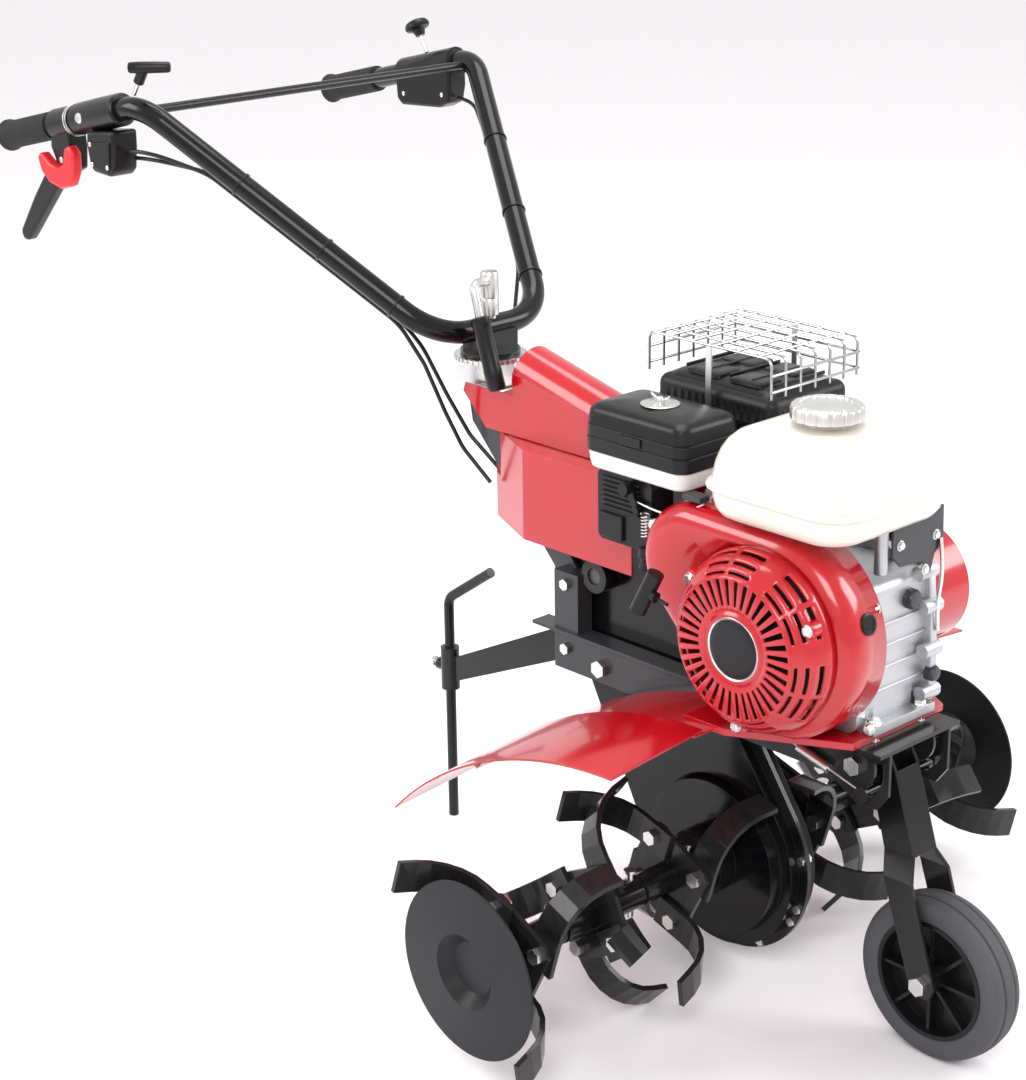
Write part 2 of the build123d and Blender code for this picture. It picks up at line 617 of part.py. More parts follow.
with BuildPart() as handlebar_saddle:
    rod((0, CLAMP_Y, 645.3), (0, CLAMP_Y, 651), 36)
    block((-27, 27), (CLAMP_Y - 19, CLAMP_Y + 19), (650, 674))
    rod((-30, CLAMP_Y, BAR_LOW[2]), (30, CLAMP_Y, BAR_LOW[2]), TUBE_R + 0.05, Mode.SUBTRACT)
    rod((0, CLAMP_Y, 640), (0, CLAMP_Y, 680), 8 + RUN, Mode.SUBTRACT)
write_piece(handlebar_saddle, "handlebar_saddle")

LEVER_TOP, LEVER_END = (-45.0, 369.0, 722.0), (-45.0, 333.0, 618.0)
with BuildPart() as clamp_lever:
    rod((0, CLAMP_Y, 691), (0, CLAMP_Y, 744), 11)
    bent_bar([(-4, CLAMP_Y - 2, 728), (-44, 373, 736), LEVER_TOP, (-45, 350, 667)], [7, 12], 5.5)
    cone((-45, 362, 702), LEVER_END, 12, 10)
    rod((0, CLAMP_Y, 690), (0, CLAMP_Y, 702.5), 8 + RUN, Mode.SUBTRACT)
write_piece(clamp_lever, "clamp_lever")

# ---------------------------------------------------------------- handlebar and controls
def opposite(point):
    """The mirror image of a point across the mid-plane."""
    return (-point[0], point[1], point[2])


with BuildPart() as handlebar_tube:
    bent_bar([opposite(BAR_END), opposite(BAR_HIGH), opposite(BAR_LOW), BAR_LOW, BAR_HIGH,
              BAR_END], [60, 78, 78, 60], TUBE_R, TUBE_R - TUBE_WALL)
    rod((0, CLAMP_Y, 650), (0, CLAMP_Y, 700), 8.5, Mode.SUBTRACT)
write_piece(handlebar_tube, "handlebar_tube")


def along_grip(side, y, lift=0.0):
    """Point on the centre line of a handle, or above it."""
    share = (y - BAR_HIGH[1]) / (BAR_END[1] - BAR_HIGH[1])
    x = BAR_HIGH[0] + (BAR_END[0] - BAR_HIGH[0]) * share
    return (side * x, y, BAR_HIGH[2] + (BAR_END[2] - BAR_HIGH[2]) * share + lift)


with BuildPart() as hand_grips:
    for side in (-1, 1):
        rod(along_grip(side, 902), along_grip(side, 1009), 17.5)
        rod(along_grip(side, 1005), along_grip(side, 1011), 20)
        rod(along_grip(side, 898), along_grip(side, 1007.3), TUBE_R + FIT, Mode.SUBTRACT)
write_piece(hand_grips, "hand_grips")

with BuildPart() as cross_rod:
    rod((-247, 716, 926), (247, 716, 926), 5.5)
write_piece(cross_rod, "cross_rod")

LEVER_PIVOT = (868.0, 852.0)
with BuildPart() as lever_bracket:
    rod(along_grip(-1, 842), along_grip(-1, 890), 19)
    block((-272, -250), (852, 886), (840, 884))
    rod(along_grip(-1, 835), along_grip(-1, 897), TUBE_R + FIT, Mode.SUBTRACT)
    block((-267, -255), (846, 892), (835, 868), Mode.SUBTRACT)
    rod((-280, *LEVER_PIVOT), (-240, *LEVER_PIVOT), 3 + RUN, Mode.SUBTRACT)
write_piece(lever_bracket, "lever_bracket")

with BuildPart() as clutch_lever:
    rod((-275, *LEVER_PIVOT), (-247, *LEVER_PIVOT), 3)
    side_plate([(858, 850), (866, 862), (878, 858), (914, 834), (984, 748), (972, 736),
                (902, 806), (868, 840)], (-266.4, -255.6))
write_piece(clutch_lever, "clutch_lever")

LATCH_PIVOT = (838.0, 862.0)
with BuildPart() as safety_latch:
    side_plate([(830, 872), (842, 876), (848, 866), (844, 838), (902, 838), (902, 828),
                (836, 826), (828, 850)], (-282, -273))
    rod((-282, *LATCH_PIVOT), (-262, *LATCH_PIVOT), 3)
write_piece(safety_latch, "safety_latch")

with BuildPart() as right_control_box:
    block((-281, -243), (742, 800), (862, 903))
    block((-281, -243), (748, 794), (900, 914))
    rod(along_grip(-1, 735), along_grip(-1, 805), TUBE_R + FIT, Mode.SUBTRACT)
    rod((-262, 733, 878), (-262, 744, 878), 5)
    block((-264.5, -259.5), (800, 832), (852, 872))
    rod((-270, *LATCH_PIVOT), (-256, *LATCH_PIVOT), 6)
    rod((-300, *LATCH_PIVOT), (-261, *LATCH_PIVOT), 3 + RUN, Mode.SUBTRACT)
write_piece(right_control_box, "right_control_box")

KNOB_RISE = {-1: Vector(0, -0.58, 0.815), 1: Vector(0, 0.49, 0.872)}
KNOB_BASE_Y = {-1: 731.0, 1: 790.0}


def knob_stem(side):
    """Start and end of a pull knob's rod, from the top of the tube."""
    foot = Vector(*along_grip(side, KNOB_BASE_Y[side])) + KNOB_RISE[side] * 21
    return foot, foot + KNOB_RISE[side] * 36


with BuildPart() as right_pull_knob:
    foot, top = knob_stem(-1)
    rod(foot, top, 3)
    middle = top + KNOB_RISE[-1] * 5
    sweep_along = Vector(0.73, -0.68, 0)
    rod(middle - sweep_along * 25, middle + sweep_along * 25, 7)
    rod(top - KNOB_RISE[-1] * 8, top + KNOB_RISE[-1] * 3, 7)
write_piece(right_pull_knob, "right_pull_knob")

with BuildPart() as left_pull_knob:
    foot, top = knob_stem(1)
    rod(foot, top, 3)
    rod(top - KNOB_RISE[1] * 3, top + KNOB_RISE[1] * 10, 17)
write_piece(left_pull_knob, "left_pull_knob")

with BuildPart() as left_control_housing:
    block((243, 275), (736, 850), (870, 896))
    block((246, 272), (742, 838), (894, 938))
    rod(along_grip(1, 725), along_grip(1, 860), TUBE_R + FIT, Mode.SUBTRACT)
    foot, top = knob_stem(1)
    rod(foot - KNOB_RISE[1] * 8, foot + KNOB_RISE[1] * 12, 3.4,
        Mode.SUBTRACT)
write_piece(left_control_housing, "left_control_housing")

ARM = (Vector(*opposite(BAR_LOW)) - Vector(*opposite(BAR_HIGH))).normalized()
UNDER = Vector(0, 0.636, -0.772)


def under_arm(side, along, drop):
    """Point below a handlebar arm, at a distance down it from its upper corner."""
    point = Vector(*opposite(BAR_HIGH)) + ARM * along + UNDER * drop
    return (-side * point.X, point.Y, point.Z)


CABLE_R = 2.5
BEND, SAG = 90, 60
right_start, right_end = under_arm(-1, 110, 19.5), under_arm(-1, 396, 19.5)
left_start, left_end = under_arm(1, 110, 19.5), under_arm(1, 350, 19.5)
with BuildPart() as control_cables:
    bent_bar([(-262, 732.8, 878), (-258, 700, 880), right_start, right_end,
              (-78, 424, 640), (-58, 412, 580), (-44, 398, 536), (-30, 364.5, 496)],
             [BEND, BEND, SAG, SAG, SAG, 40], CABLE_R)
    beside = Vector(7, 0, 0)
    bent_bar([(-252, 739, 868), (-249, 700, 870), Vector(*right_start) + beside,
              Vector(*right_end) + beside, (-66, 440, 655), (-44, 424, 596), (-30, 400, 548),
              (-17, 364.5, 512)], [BEND, BEND, SAG, SAG, SAG, 40], CABLE_R)
    bent_bar([(259, 735.6, 880), (256, 702, 878), left_start, left_end,
              (76, 438, 640), (50, 428, 590), (30, 404, 544), (12, 364.5, 512)],
             [BEND, BEND, SAG, SAG, SAG, 40], CABLE_R)
write_piece(control_cables, "control_cables")

# ---------------------------------------------------------------- engine
CYLINDER_TILT = 25.0
CYLINDER_FACE = (-88.0, 496.0)      # y, z where the cylinder leaves the crankcase
FAN_X = (-122.0, -62.0)
CAVITY_R = 45.0


def cylinder_plane(along):
    """Plane across the cylinder, at a distance from the crankcase."""
    tilt = radians(CYLINDER_TILT)
    run = (0, cos(tilt), sin(tilt))
    origin = (0, CYLINDER_FACE[0] + along * cos(tilt), CYLINDER_FACE[1] + along * sin(tilt))
    return Plane(origin=origin, x_dir=(1, 0, 0), z_dir=run)


with BuildPart() as crankcase:
    block((-58, 58), (-223, -72), (BASE_Z, 522))
    fillet(crankcase.edges().filter_by(Axis.X), 14)
    block((-47, 53), (-238, -58), (BASE_Z, 372))
    with BuildSketch(cylinder_plane(-20)):
        Rectangle(88, 76)
    extrude(amount=40)
    for fin in range(7):
        with BuildSketch(cylinder_plane(24 + fin * 10)):
            RectangleRounded(104, 92, 12)
        extrude(amount=3)
    with BuildSketch(cylinder_plane(15)):
        Rectangle(76, 66)
    extrude(amount=84)
    with BuildSketch(cylinder_plane(92)):
        RectangleRounded(92, 80, 10)
    extrude(amount=24)
    rod((-45, *CRANK), (45, *CRANK), CAVITY_R, Mode.SUBTRACT)
    rod((-70, *CRANK), (70, *CRANK), 12.5 + RUN, Mode.SUBTRACT)
    for side in (-1, 1):
        for y in ENGINE_FEET_Y:
            rod((side * FOOT_X / 2, y, 350), (side * FOOT_X / 2, y, 374), 4 + FIT, Mode.SUBTRACT)
            rod((side * FOOT_X / 2, y, 372), (side * FOOT_X / 2, y, 386), 9, Mode.SUBTRACT)
write_piece(crankcase, "crankcase")

THROW = 24.0
with BuildPart() as crankshaft:
    rod((-118, *CRANK), (-14, *CRANK), 12.5)
    rod((14, *CRANK), (70, *CRANK), 12.5)
    rod((69, *CRANK), (124, *CRANK), 10)
    for web in ((-30, -14), (14, 30)):
        two_circles(web, (*CRANK, 26), (CRANK[0], CRANK[1] - THROW, 16))
    rod((-15, CRANK[0], CRANK[1] - THROW), (15, CRANK[0], CRANK[1] - THROW), 12)
write_piece(crankshaft, "crankshaft")

with BuildPart() as flywheel:
    rod((-84, *CRANK), (-66, *CRANK), 86)
    rod((-84, *CRANK), (-68, *CRANK), 28)
    with BuildSketch(Plane.YZ.offset(-104)):
        with Locations(CRANK):
            with PolarLocations(72, 20):
                Rectangle(26, 3)
    extrude(amount=21)
    rod((-130, *CRANK), (-60, *CRANK), 12.5 + FIT, Mode.SUBTRACT)
write_piece(flywheel, "flywheel")

with BuildPart() as fan_housing:
    two_circles(FAN_X, (*CRANK, 113), (-38, 515, 68))
    two_circles((FAN_X[0] + 2, FAN_X[1] + 1), (*CRANK, 111), (-38, 515, 66), Mode.SUBTRACT)
    block((FAN_X[0] - 1, FAN_X[1] + 1), (-270, 60), (300, BASE_Z), Mode.SUBTRACT)
    rod((FAN_X[0] - 1, *CRANK), (FAN_X[0] + 3, *CRANK), 90, Mode.SUBTRACT)
write_piece(fan_housing, "fan_housing")

with BuildPart() as recoil_cover:
    rod((-168, *CRANK), (-122.1, *CRANK), 98)
    fillet(recoil_cover.faces().sort_by(Axis.X)[0].edges(), 12)
    rod((-166, *CRANK), (-121, *CRANK), 90, Mode.SUBTRACT)
    with BuildSketch(Plane.YZ.offset(-170)) as slots:
        with Locations(CRANK):
            with PolarLocations(61, 24):
                SlotOverall(32, 5)
    extrude(slots.sketch, amount=12, mode=Mode.SUBTRACT)
write_piece(recoil_cover, "recoil_cover")

PULL_START = Vector(0, 0.98, 0.2).normalized()
with BuildPart() as pull_start_grip:
    top, bottom = Vector(-179, -52, 528), Vector(-186, -33, 484)
    middle = (top + bottom) * 0.5
    rod(top, bottom, 9)
    rod(middle, middle - PULL_START * 14, 6)
    rod(middle - PULL_START * 13, middle - PULL_START * 30, 2)
write_piece(pull_start_grip, "pull_start_grip")

TANK_X, TANK_Y, TANK_Z = (-143.0, 50.0), (-260.0, -71.0), (585.0, 684.0)
CAP = (-50.0, -165.0)
with BuildPart() as fuel_tank:
    block(TANK_X, TANK_Y, TANK_Z)
    fillet(fuel_tank.edges().filter_by(Axis.Z), 34)
    fillet(fuel_tank.faces().sort_by(Axis.Z)[-1].edges(), 22)
    fillet(fuel_tank.faces().sort_by(Axis.Z)[0].edges(), 16)
    with BuildSketch(Plane.XY.offset(620)):
        with Locations(((TANK_X[0] + TANK_X[1]) / 2, (TANK_Y[0] + TANK_Y[1]) / 2)):
            RectangleRounded(TANK_X[1] - TANK_X[0] + 14, TANK_Y[1] - TANK_Y[0] + 14, 40)
    extrude(amount=4)
    rounded_hollow((TANK_X[0] + 3, TANK_X[1] - 3), (TANK_Y[0] + 3, TANK_Y[1] - 3),
                   (TANK_Z[0] + 3, TANK_Z[1] - 3), 31, 19, 13)
    with BuildSketch(Plane.XY.offset(TANK_Z[1] - 4)):
        with Locations(CAP):
            Circle(22)
    extrude(amount=10)
    rod((*CAP, 660), (*CAP, 700), 18, Mode.SUBTRACT)
write_piece(fuel_tank, "fuel_tank")

with BuildPart() as fuel_cap:
    rod((*CAP, 690.3), (*CAP, 707), 38)
    fillet(fuel_cap.faces().sort_by(Axis.Z)[-1].edges(), 4)
    rod((*CAP, 690), (*CAP, 704), 35, Mode.SUBTRACT)
    rod((*CAP, 676), (*CAP, 705), 18 - RUN)
write_piece(fuel_cap, "fuel_cap")

with BuildPart() as air_cleaner_base:
    block((-118, -22), (-30, 120), (592, 611.9))
    fillet(air_cleaner_base.edges().filter_by(Axis.Z), 14)
    block((-66, -34), (42, 90), (574, 594))
    rod((-50, 66, 570), (-50, 66, 620), 10, Mode.SUBTRACT)
write_piece(air_cleaner_base, "air_cleaner_base")

with BuildPart() as air_cleaner_cover:
    block((-118, -22), (-30, 120), (612, 668))
    fillet(air_cleaner_cover.edges().filter_by(Axis.Z), 14)
    fillet(air_cleaner_cover.faces().sort_by(Axis.Z)[-1].edges(), 10)
    rounded_hollow((-115, -25), (-27, 117), (605, 665), 11, 7)
    rod((-72, 46, 667), (-72, 46, 671), 16)
    block((-74, -70), (34, 58), (670, 678))
write_piece(air_cleaner_cover, "air_cleaner_cover")

with BuildPart() as carburettor:
    block((-66, -34), (45, 86), (500, 573.9))
    rod((-50, 66, 478), (-50, 66, 501), 18)
write_piece(carburettor, "carburettor")

with BuildPart() as throttle_panel:
    block((-100, -66.1), (31, 112), (508, 588))
    fillet(throttle_panel.edges().filter_by(Axis.X), 8)
    block((-97, -68), (34, 109), (511, 585), Mode.SUBTRACT)
    rod((-102, 46, 556), (-95, 46, 556), 4 + RUN, Mode.SUBTRACT)
write_piece(throttle_panel, "throttle_panel")

with BuildPart() as throttle_lever:
    rod((-110, 46, 556), (-94, 46, 556), 4)
    side_plate([(42, 552), (50, 552), (62, 576), (54, 580)], (-108, -104))
    rod((-116, 59, 578), (-104, 59, 578), 7)
write_piece(throttle_lever, "throttle_lever")

with BuildPart() as muffler:
    block((4, 131), (-46, 126), (604, 672))
    fillet(muffler.edges(), 12)
    rounded_hollow((7, 128), (-43, 123), (607, 669), 9, 8, 8)
    rod((20, 30, 545), (20, 30, 608), 12)
    rod((20, 30, 540), (20, 30, 610), 10, Mode.SUBTRACT)
write_piece(muffler, "muffler")

with BuildPart() as muffler_shield:
    block((0, 135), (-50, 130), (612, 680))
    fillet(muffler_shield.edges().filter_by(Axis.Z), 14)
    fillet(muffler_shield.faces().sort_by(Axis.Z)[-1].edges(), 8)
    rounded_hollow((2, 133), (-48, 128), (600, 678), 12, 6)
    for slot in range(7):
        block((30, 105), (-30 + slot * 20, -24 + slot * 20), (670, 690), Mode.SUBTRACT)
write_piece(muffler_shield, "muffler_shield")

WIRE_R = 2.5
GUARD_X, GUARD_Y, GUARD_TOP = (-4.0, 139.0), (-50.0, 130.0), 716.0
with BuildPart() as wire_guard:
    for x in GUARD_X:
        bent_bar([(x, GUARD_Y[1], 640), (x, GUARD_Y[1], GUARD_TOP), (x, GUARD_Y[0], GUARD_TOP),
                  (x, GUARD_Y[0], 640)], [14, 14], WIRE_R)
        block((x - 3.1, x + 3.1), (36, 44), (656, GUARD_TOP - 1))
    for y in (-32, -6, 20, 60, 86, 112):
        rod((GUARD_X[0] - 1, y, GUARD_TOP + 3), (GUARD_X[1] + 1, y, GUARD_TOP + 3), WIRE_R)
    for y in GUARD_Y:
        rod((GUARD_X[0], y, 690), (GUARD_X[1], y, 690), 2)
write_piece(wire_guard, "wire_guard")

with BuildPart() as idler_arm:
    two_circles((84, 88), (*IDLER_PIVOT, 12), (*IDLER, 10))
    rod((88, *IDLER), (98, *IDLER), 8)
    rod((97, *IDLER), (113, *IDLER), 18)
    rod((80, *IDLER_PIVOT), (90, *IDLER_PIVOT), 7 + RUN, Mode.SUBTRACT)
write_piece(idler_arm, "idler_arm")
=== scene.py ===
import json
from math import cos, radians, sin, tau

import bmesh
import bpy
from mathutils import Matrix, Vector


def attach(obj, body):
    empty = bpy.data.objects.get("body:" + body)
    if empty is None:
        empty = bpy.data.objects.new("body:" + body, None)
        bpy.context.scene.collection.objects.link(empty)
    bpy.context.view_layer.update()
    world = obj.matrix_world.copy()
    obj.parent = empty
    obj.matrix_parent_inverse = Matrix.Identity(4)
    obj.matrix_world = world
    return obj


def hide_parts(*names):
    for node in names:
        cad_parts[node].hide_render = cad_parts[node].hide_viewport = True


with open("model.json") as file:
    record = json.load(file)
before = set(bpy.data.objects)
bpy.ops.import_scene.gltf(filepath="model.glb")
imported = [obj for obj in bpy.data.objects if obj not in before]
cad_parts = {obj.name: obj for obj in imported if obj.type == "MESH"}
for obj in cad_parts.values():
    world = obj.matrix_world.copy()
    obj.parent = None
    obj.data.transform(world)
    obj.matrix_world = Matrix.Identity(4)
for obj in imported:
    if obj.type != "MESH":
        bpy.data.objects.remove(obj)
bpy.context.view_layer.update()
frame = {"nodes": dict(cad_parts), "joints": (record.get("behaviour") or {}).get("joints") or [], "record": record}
joints = {joint["name"]: joint for joint in frame["joints"]}
AXLE = Vector(joints["rotor_spin"]["pos_m"])


def at(x, y, z):
    """Point in metres from millimetres measured from the mid-plane, the rotor axle and the ground."""
    return Vector((x / 1000, AXLE.y + y / 1000, z / 1000))


CRANK = Vector(joints["crank_spin"]["pos_m"])


# ---------------------------------------------------------------- materials
def material(name, colour, rough, metal=0.0, grain=900.0, bump=0.02, shade=0.12, coat=0.0, edge_highlight=0.0,
             specular=0.5, soften=0.0):
    """Surface with its own fine grain, uneven tone and, if asked, softened edges and a painted highlight that
    lightens sharp edges.
    """
    mat = bpy.data.materials.new(name)
    mat.use_nodes = True
    nodes, links = mat.node_tree.nodes, mat.node_tree.links
    shader = nodes["Principled BSDF"]
    shader.inputs["Metallic"].default_value = metal
    shader.inputs["Coat Weight"].default_value = coat
    shader.inputs["Specular IOR Level"].default_value = specular
    shader.inputs["Coat Roughness"].default_value = 0.06
    place = nodes.new("ShaderNodeTexCoord")
    tone = nodes.new("ShaderNodeTexNoise")
    tone.inputs["Scale"].default_value = 14.0
    tone.inputs["Detail"].default_value = 5.0
    links.new(place.outputs["Object"], tone.inputs["Vector"])
    ramp = nodes.new("ShaderNodeValToRGB")
    ramp.color_ramp.elements[0].position = 0.3
    ramp.color_ramp.elements[1].position = 0.75
    ramp.color_ramp.elements[0].color = (*[c * (1 - shade) for c in colour], 1)
    ramp.color_ramp.elements[1].color = (*[min(1, c * (1 + shade)) for c in colour], 1)
    links.new(tone.outputs["Fac"], ramp.inputs["Fac"])
    colour_out = ramp.outputs["Color"]
    # Painted highlight: sharp convex edges (high pointiness) are lightened to stand in for light catching on them.
    if edge_highlight:
        curve = nodes.new("ShaderNodeNewGeometry")
        sharp = nodes.new("ShaderNodeValToRGB")
        sharp.color_ramp.elements[0].position = 0.52
        sharp.color_ramp.elements[1].position = 0.62
        links.new(curve.outputs["Pointiness"], sharp.inputs["Fac"])
        mix = nodes.new("ShaderNodeMix")
        mix.data_type = "RGBA"
        links.new(sharp.outputs["Color"], mix.inputs["Factor"])
        links.new(colour_out, mix.inputs["A"])
        mix.inputs["B"].default_value = (*[min(1, c + edge_highlight) for c in colour], 1)
        colour_out = mix.outputs["Result"]
    links.new(colour_out, shader.inputs["Base Color"])
    grit = nodes.new("ShaderNodeTexNoise")
    grit.inputs["Scale"].default_value = grain
    grit.inputs["Detail"].default_value = 3.0
    links.new(place.outputs["Object"], grit.inputs["Vector"])
    spread = nodes.new("ShaderNodeMapRange")
    spread.inputs["To Min"].default_value = max(0.02, rough - 0.06)
    spread.inputs["To Max"].default_value = min(1.0, rough + 0.08)
    links.new(tone.outputs["Fac"], spread.inputs["Value"])
    links.new(spread.outputs["Result"], shader.inputs["Roughness"])
    relief = nodes.new("ShaderNodeBump")
    relief.inputs["Strength"].default_value = bump
    relief.inputs["Distance"].default_value = 0.001
    links.new(grit.outputs["Fac"], relief.inputs["Height"])
    if soften:
        bevel = nodes.new("ShaderNodeBevel")
        bevel.samples = 4
        bevel.inputs["Radius"].default_value = soften
        links.new(bevel.outputs["Normal"], relief.inputs["Normal"])
    links.new(relief.outputs["Normal"], shader.inputs["Normal"])
    return mat


# Gloss black paint: its sharp edges get a faint painted highlight.
BLACK = material("gloss_black", (0.004, 0.004, 0.005), 0.16, specular=0.24, coat=0.06, grain=260,
                 bump=0.05, edge_highlight=0.015, soften=0.0012)
SATIN = material("satin_black", (0.011, 0.011, 0.013), 0.4, specular=0.24, grain=500, bump=0.10,
                 soften=0.001)
RED = material("red_paint", (0.44, 0.003, 0.009), 0.18, coat=0.35, grain=220, bump=0.03, shade=0.06,
               soften=0.0015)
CREAM = material("cream_paint", (0.72, 0.68, 0.60), 0.26, coat=0.5, grain=240, bump=0.025, shade=0.03,
                 soften=0.0015)
WHITE = material("white_plastic", (0.68, 0.67, 0.64), 0.38, grain=900, bump=0.05, shade=0.03)
PLASTIC = material("black_plastic", (0.007, 0.007, 0.008), 0.28, specular=0.26, grain=1600,
                   bump=0.12, shade=0.15,
                   soften=0.001)
RUBBER = material("grip_rubber", (0.014, 0.014, 0.015), 0.62, specular=0.3, grain=1400,
                  bump=0.35, shade=0.2)
TYRE = material("tyre_rubber", (0.055, 0.056, 0.062), 0.66, grain=1100, bump=0.3, shade=0.22)
ZINC = material("zinc_steel", (0.68, 0.68, 0.66), 0.27, metal=1.0, grain=700, bump=0.06, shade=0.1,
                soften=0.0006)
WIRE = material("bright_wire", (0.5, 0.5, 0.51), 0.14, metal=1.0, grain=300, bump=0.02, shade=0.05)
CAST = material("cast_aluminium", (0.52, 0.53, 0.55), 0.42, metal=0.85, grain=520, bump=0.28,
                shade=0.14, soften=0.0015)
GREY = material("dark_grey_paint", (0.032, 0.034, 0.038), 0.28, specular=0.3, coat=0.15,
                grain=420, bump=0.08, soften=0.0012)
STEEL = material("machined_steel", (0.36, 0.36, 0.37), 0.3, metal=1.0, grain=800, bump=0.08)
IRON = material("cast_iron", (0.10, 0.10, 0.105), 0.5, metal=0.7, grain=450, bump=0.3)
SHEATH = material("cable_sheath", (0.008, 0.008, 0.009), 0.3, specular=0.35, grain=1200, bump=0.08)
BELT = material("belt_rubber", (0.02, 0.02, 0.02), 0.7, grain=1500, bump=0.4)
LATCH_RED = material("red_plastic", (0.62, 0.012, 0.02), 0.3, grain=900, bump=0.06, shade=0.06,
                     soften=0.0008)

FINISHES = {
    "black_paint": BLACK, "satin_black": SATIN, "red_paint": RED, "cream_paint": CREAM,
    "white_plastic": WHITE, "black_plastic": PLASTIC, "rubber_grip": RUBBER, "tyre_rubber": TYRE,
    "zinc_steel": ZINC, "chrome_wire": WIRE, "cast_aluminium": CAST, "grey_paint": GREY,
    "machined_steel": STEEL, "cast_iron": IRON, "cable_sheath": SHEATH, "belt_rubber": BELT,
    "red_plastic": LATCH_RED, "red_moulding": RED,
}
slot_of = {part["node"]: part["material_slot"] for part in frame["record"]["subparts"]}
for node, piece in frame["nodes"].items():
    piece.data.materials.clear()
    piece.data.materials.append(FINISHES[slot_of[node]])


# ---------------------------------------------------------------- piece builders
def piece(name, mesh, finish, body, *stands_for, slot=None):
    """New object from a mesh, riding on a body and, if asked, standing for CAD nodes."""
    mesh.materials.append(finish)
    obj = bpy.data.objects.new(name, mesh)
    bpy.context.scene.collection.objects.link(obj)
    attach(obj, body)
    if stands_for:
        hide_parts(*stands_for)
    return obj


def smooth_by_angle(obj, angle=40):
    """Smooth shading that keeps edges sharper than an angle."""
    mesh = obj.data
    for face in mesh.polygons:
        face.use_smooth = True
    mesh.set_sharp_from_angle(angle=radians(angle))


def soften(obj, width=0.001):
    """Small rounded edges and smooth shading."""
    bevel = obj.modifiers.new("edges", "BEVEL")
    bevel.width, bevel.segments, bevel.limit_method = width, 3, "ANGLE"
    bevel.angle_limit = radians(35)
    smooth_by_angle(obj)
    return obj


def sheet(obj, thickness):
    """Give an open skin its thickness, on the inside."""
    wall = obj.modifiers.new("sheet", "SOLIDIFY")
    wall.thickness, wall.offset = thickness, -1


def to_data(mesh, name):
    """Mesh data from a bmesh, with its normals outwards."""
    bmesh.ops.recalc_face_normals(mesh, faces=mesh.faces)
    data = bpy.data.meshes.new(name)
    mesh.to_mesh(data)
    mesh.free()
    return data


def from_rings(name, rings, closed_ends=(True, True)):
    """Mesh skinned over rings with the same number of points."""
    mesh = bmesh.new()
    rows = [[mesh.verts.new(point) for point in ring] for ring in rings]
    count = len(rows[0])
    for lower, upper in zip(rows, rows[1:]):
        for k in range(count):
            mesh.faces.new((lower[k], lower[(k + 1) % count], upper[(k + 1) % count], upper[k]))
    if closed_ends[0]:
        mesh.faces.new(list(reversed(rows[0])))
    if closed_ends[1]:
        mesh.faces.new(rows[-1])
    bmesh.ops.remove_doubles(mesh, verts=mesh.verts, dist=1e-7)
    return to_data(mesh, name)


def rounded_ring(x, y, z, inset, radius, steps=6):
    """Rounded rectangle at one height, in from two pairs of limits in millimetres."""
    left, right, front, back = x[0] + inset, x[1] - inset, y[0] + inset, y[1] - inset
    r = max(1.0, min(radius, (right - left) / 2 - 1, (back - front) / 2 - 1))
    ring = []
    for cx, cy, start in ((right - r, back - r, 0), (left + r, back - r, 90),
                          (left + r, front + r, 180), (right - r, front + r, 270)):
        for step in range(steps + 1):
            angle = radians(start + 90 * step / steps)
            ring.append(at(cx + r * cos(angle), cy + r * sin(angle), z))
    return ring


def rounded_box(name, x, y, stations, radius, finish, body, *stands_for, slot=None):
    """Moulding with a rounded rectangular plan; stations are (height, inset)."""
    rings = [rounded_ring(x, y, z, inset, radius - 0.5 * inset) for z, inset in stations]
    obj = piece(name, from_rings(name, rings), finish, body, *stands_for, slot=slot)
    smooth_by_angle(obj, 30)
    return obj


def block(name, x, y, z, finish, body, *stands_for, slot=None, round_to=0.002):
    """Box between limits in millimetres with rounded edges."""
    middle = at(sum(x) / 2, sum(y) / 2, sum(z) / 2)
    half = Vector((x[1] - x[0], y[1] - y[0], z[1] - z[0])) / 2000
    rings = [[middle + Vector((sx * half.x, sy * half.y, sz * half.z))
              for sx, sy in ((-1, -1), (1, -1), (1, 1), (-1, 1))] for sz in (-1, 1)]
    obj = piece(name, from_rings(name, rings), finish, body, *stands_for, slot=slot)
    return soften(obj, round_to)


def lathe(name, profile, start, axis, finish, body, *stands_for, slot=None, count=64, lobes=0,
          lobe_depth=0.0, hoop=False):
    """Solid of revolution; the profile is (radius, distance along the axis) in millimetres."""
    axis = Vector(axis).normalized()
    across = axis.orthogonal().normalized()
    other = axis.cross(across)
    rings = []
    for radius, along in profile:
        ring = []
        for k in range(count):
            angle = tau * k / count
            r = radius
            if lobes and radius > 3:
                r = radius * (1 - lobe_depth * max(0.0, cos(lobes * angle)) ** 4)
            ring.append(start + axis * along / 1000
                        + (across * cos(angle) + other * sin(angle)) * r / 1000)
        rings.append(ring)
    if hoop:
        rings.append(rings[0])
    ends = (not hoop, not hoop)
    obj = piece(name, from_rings(name, rings, ends), finish, body, *stands_for, slot=slot)
    smooth_by_angle(obj, 34)
    return obj


def side_moulding(name, outline, x, finish, body, *stands_for, slot=None, round_to=0.002):
    """Plate or moulding with an outline in (y, z) between two x limits, edges rounded."""
    rings = [[at(side, y, z) for y, z in outline] for side in x]
    obj = piece(name, from_rings(name, rings), finish, body, *stands_for, slot=slot)
    return soften(obj, round_to)


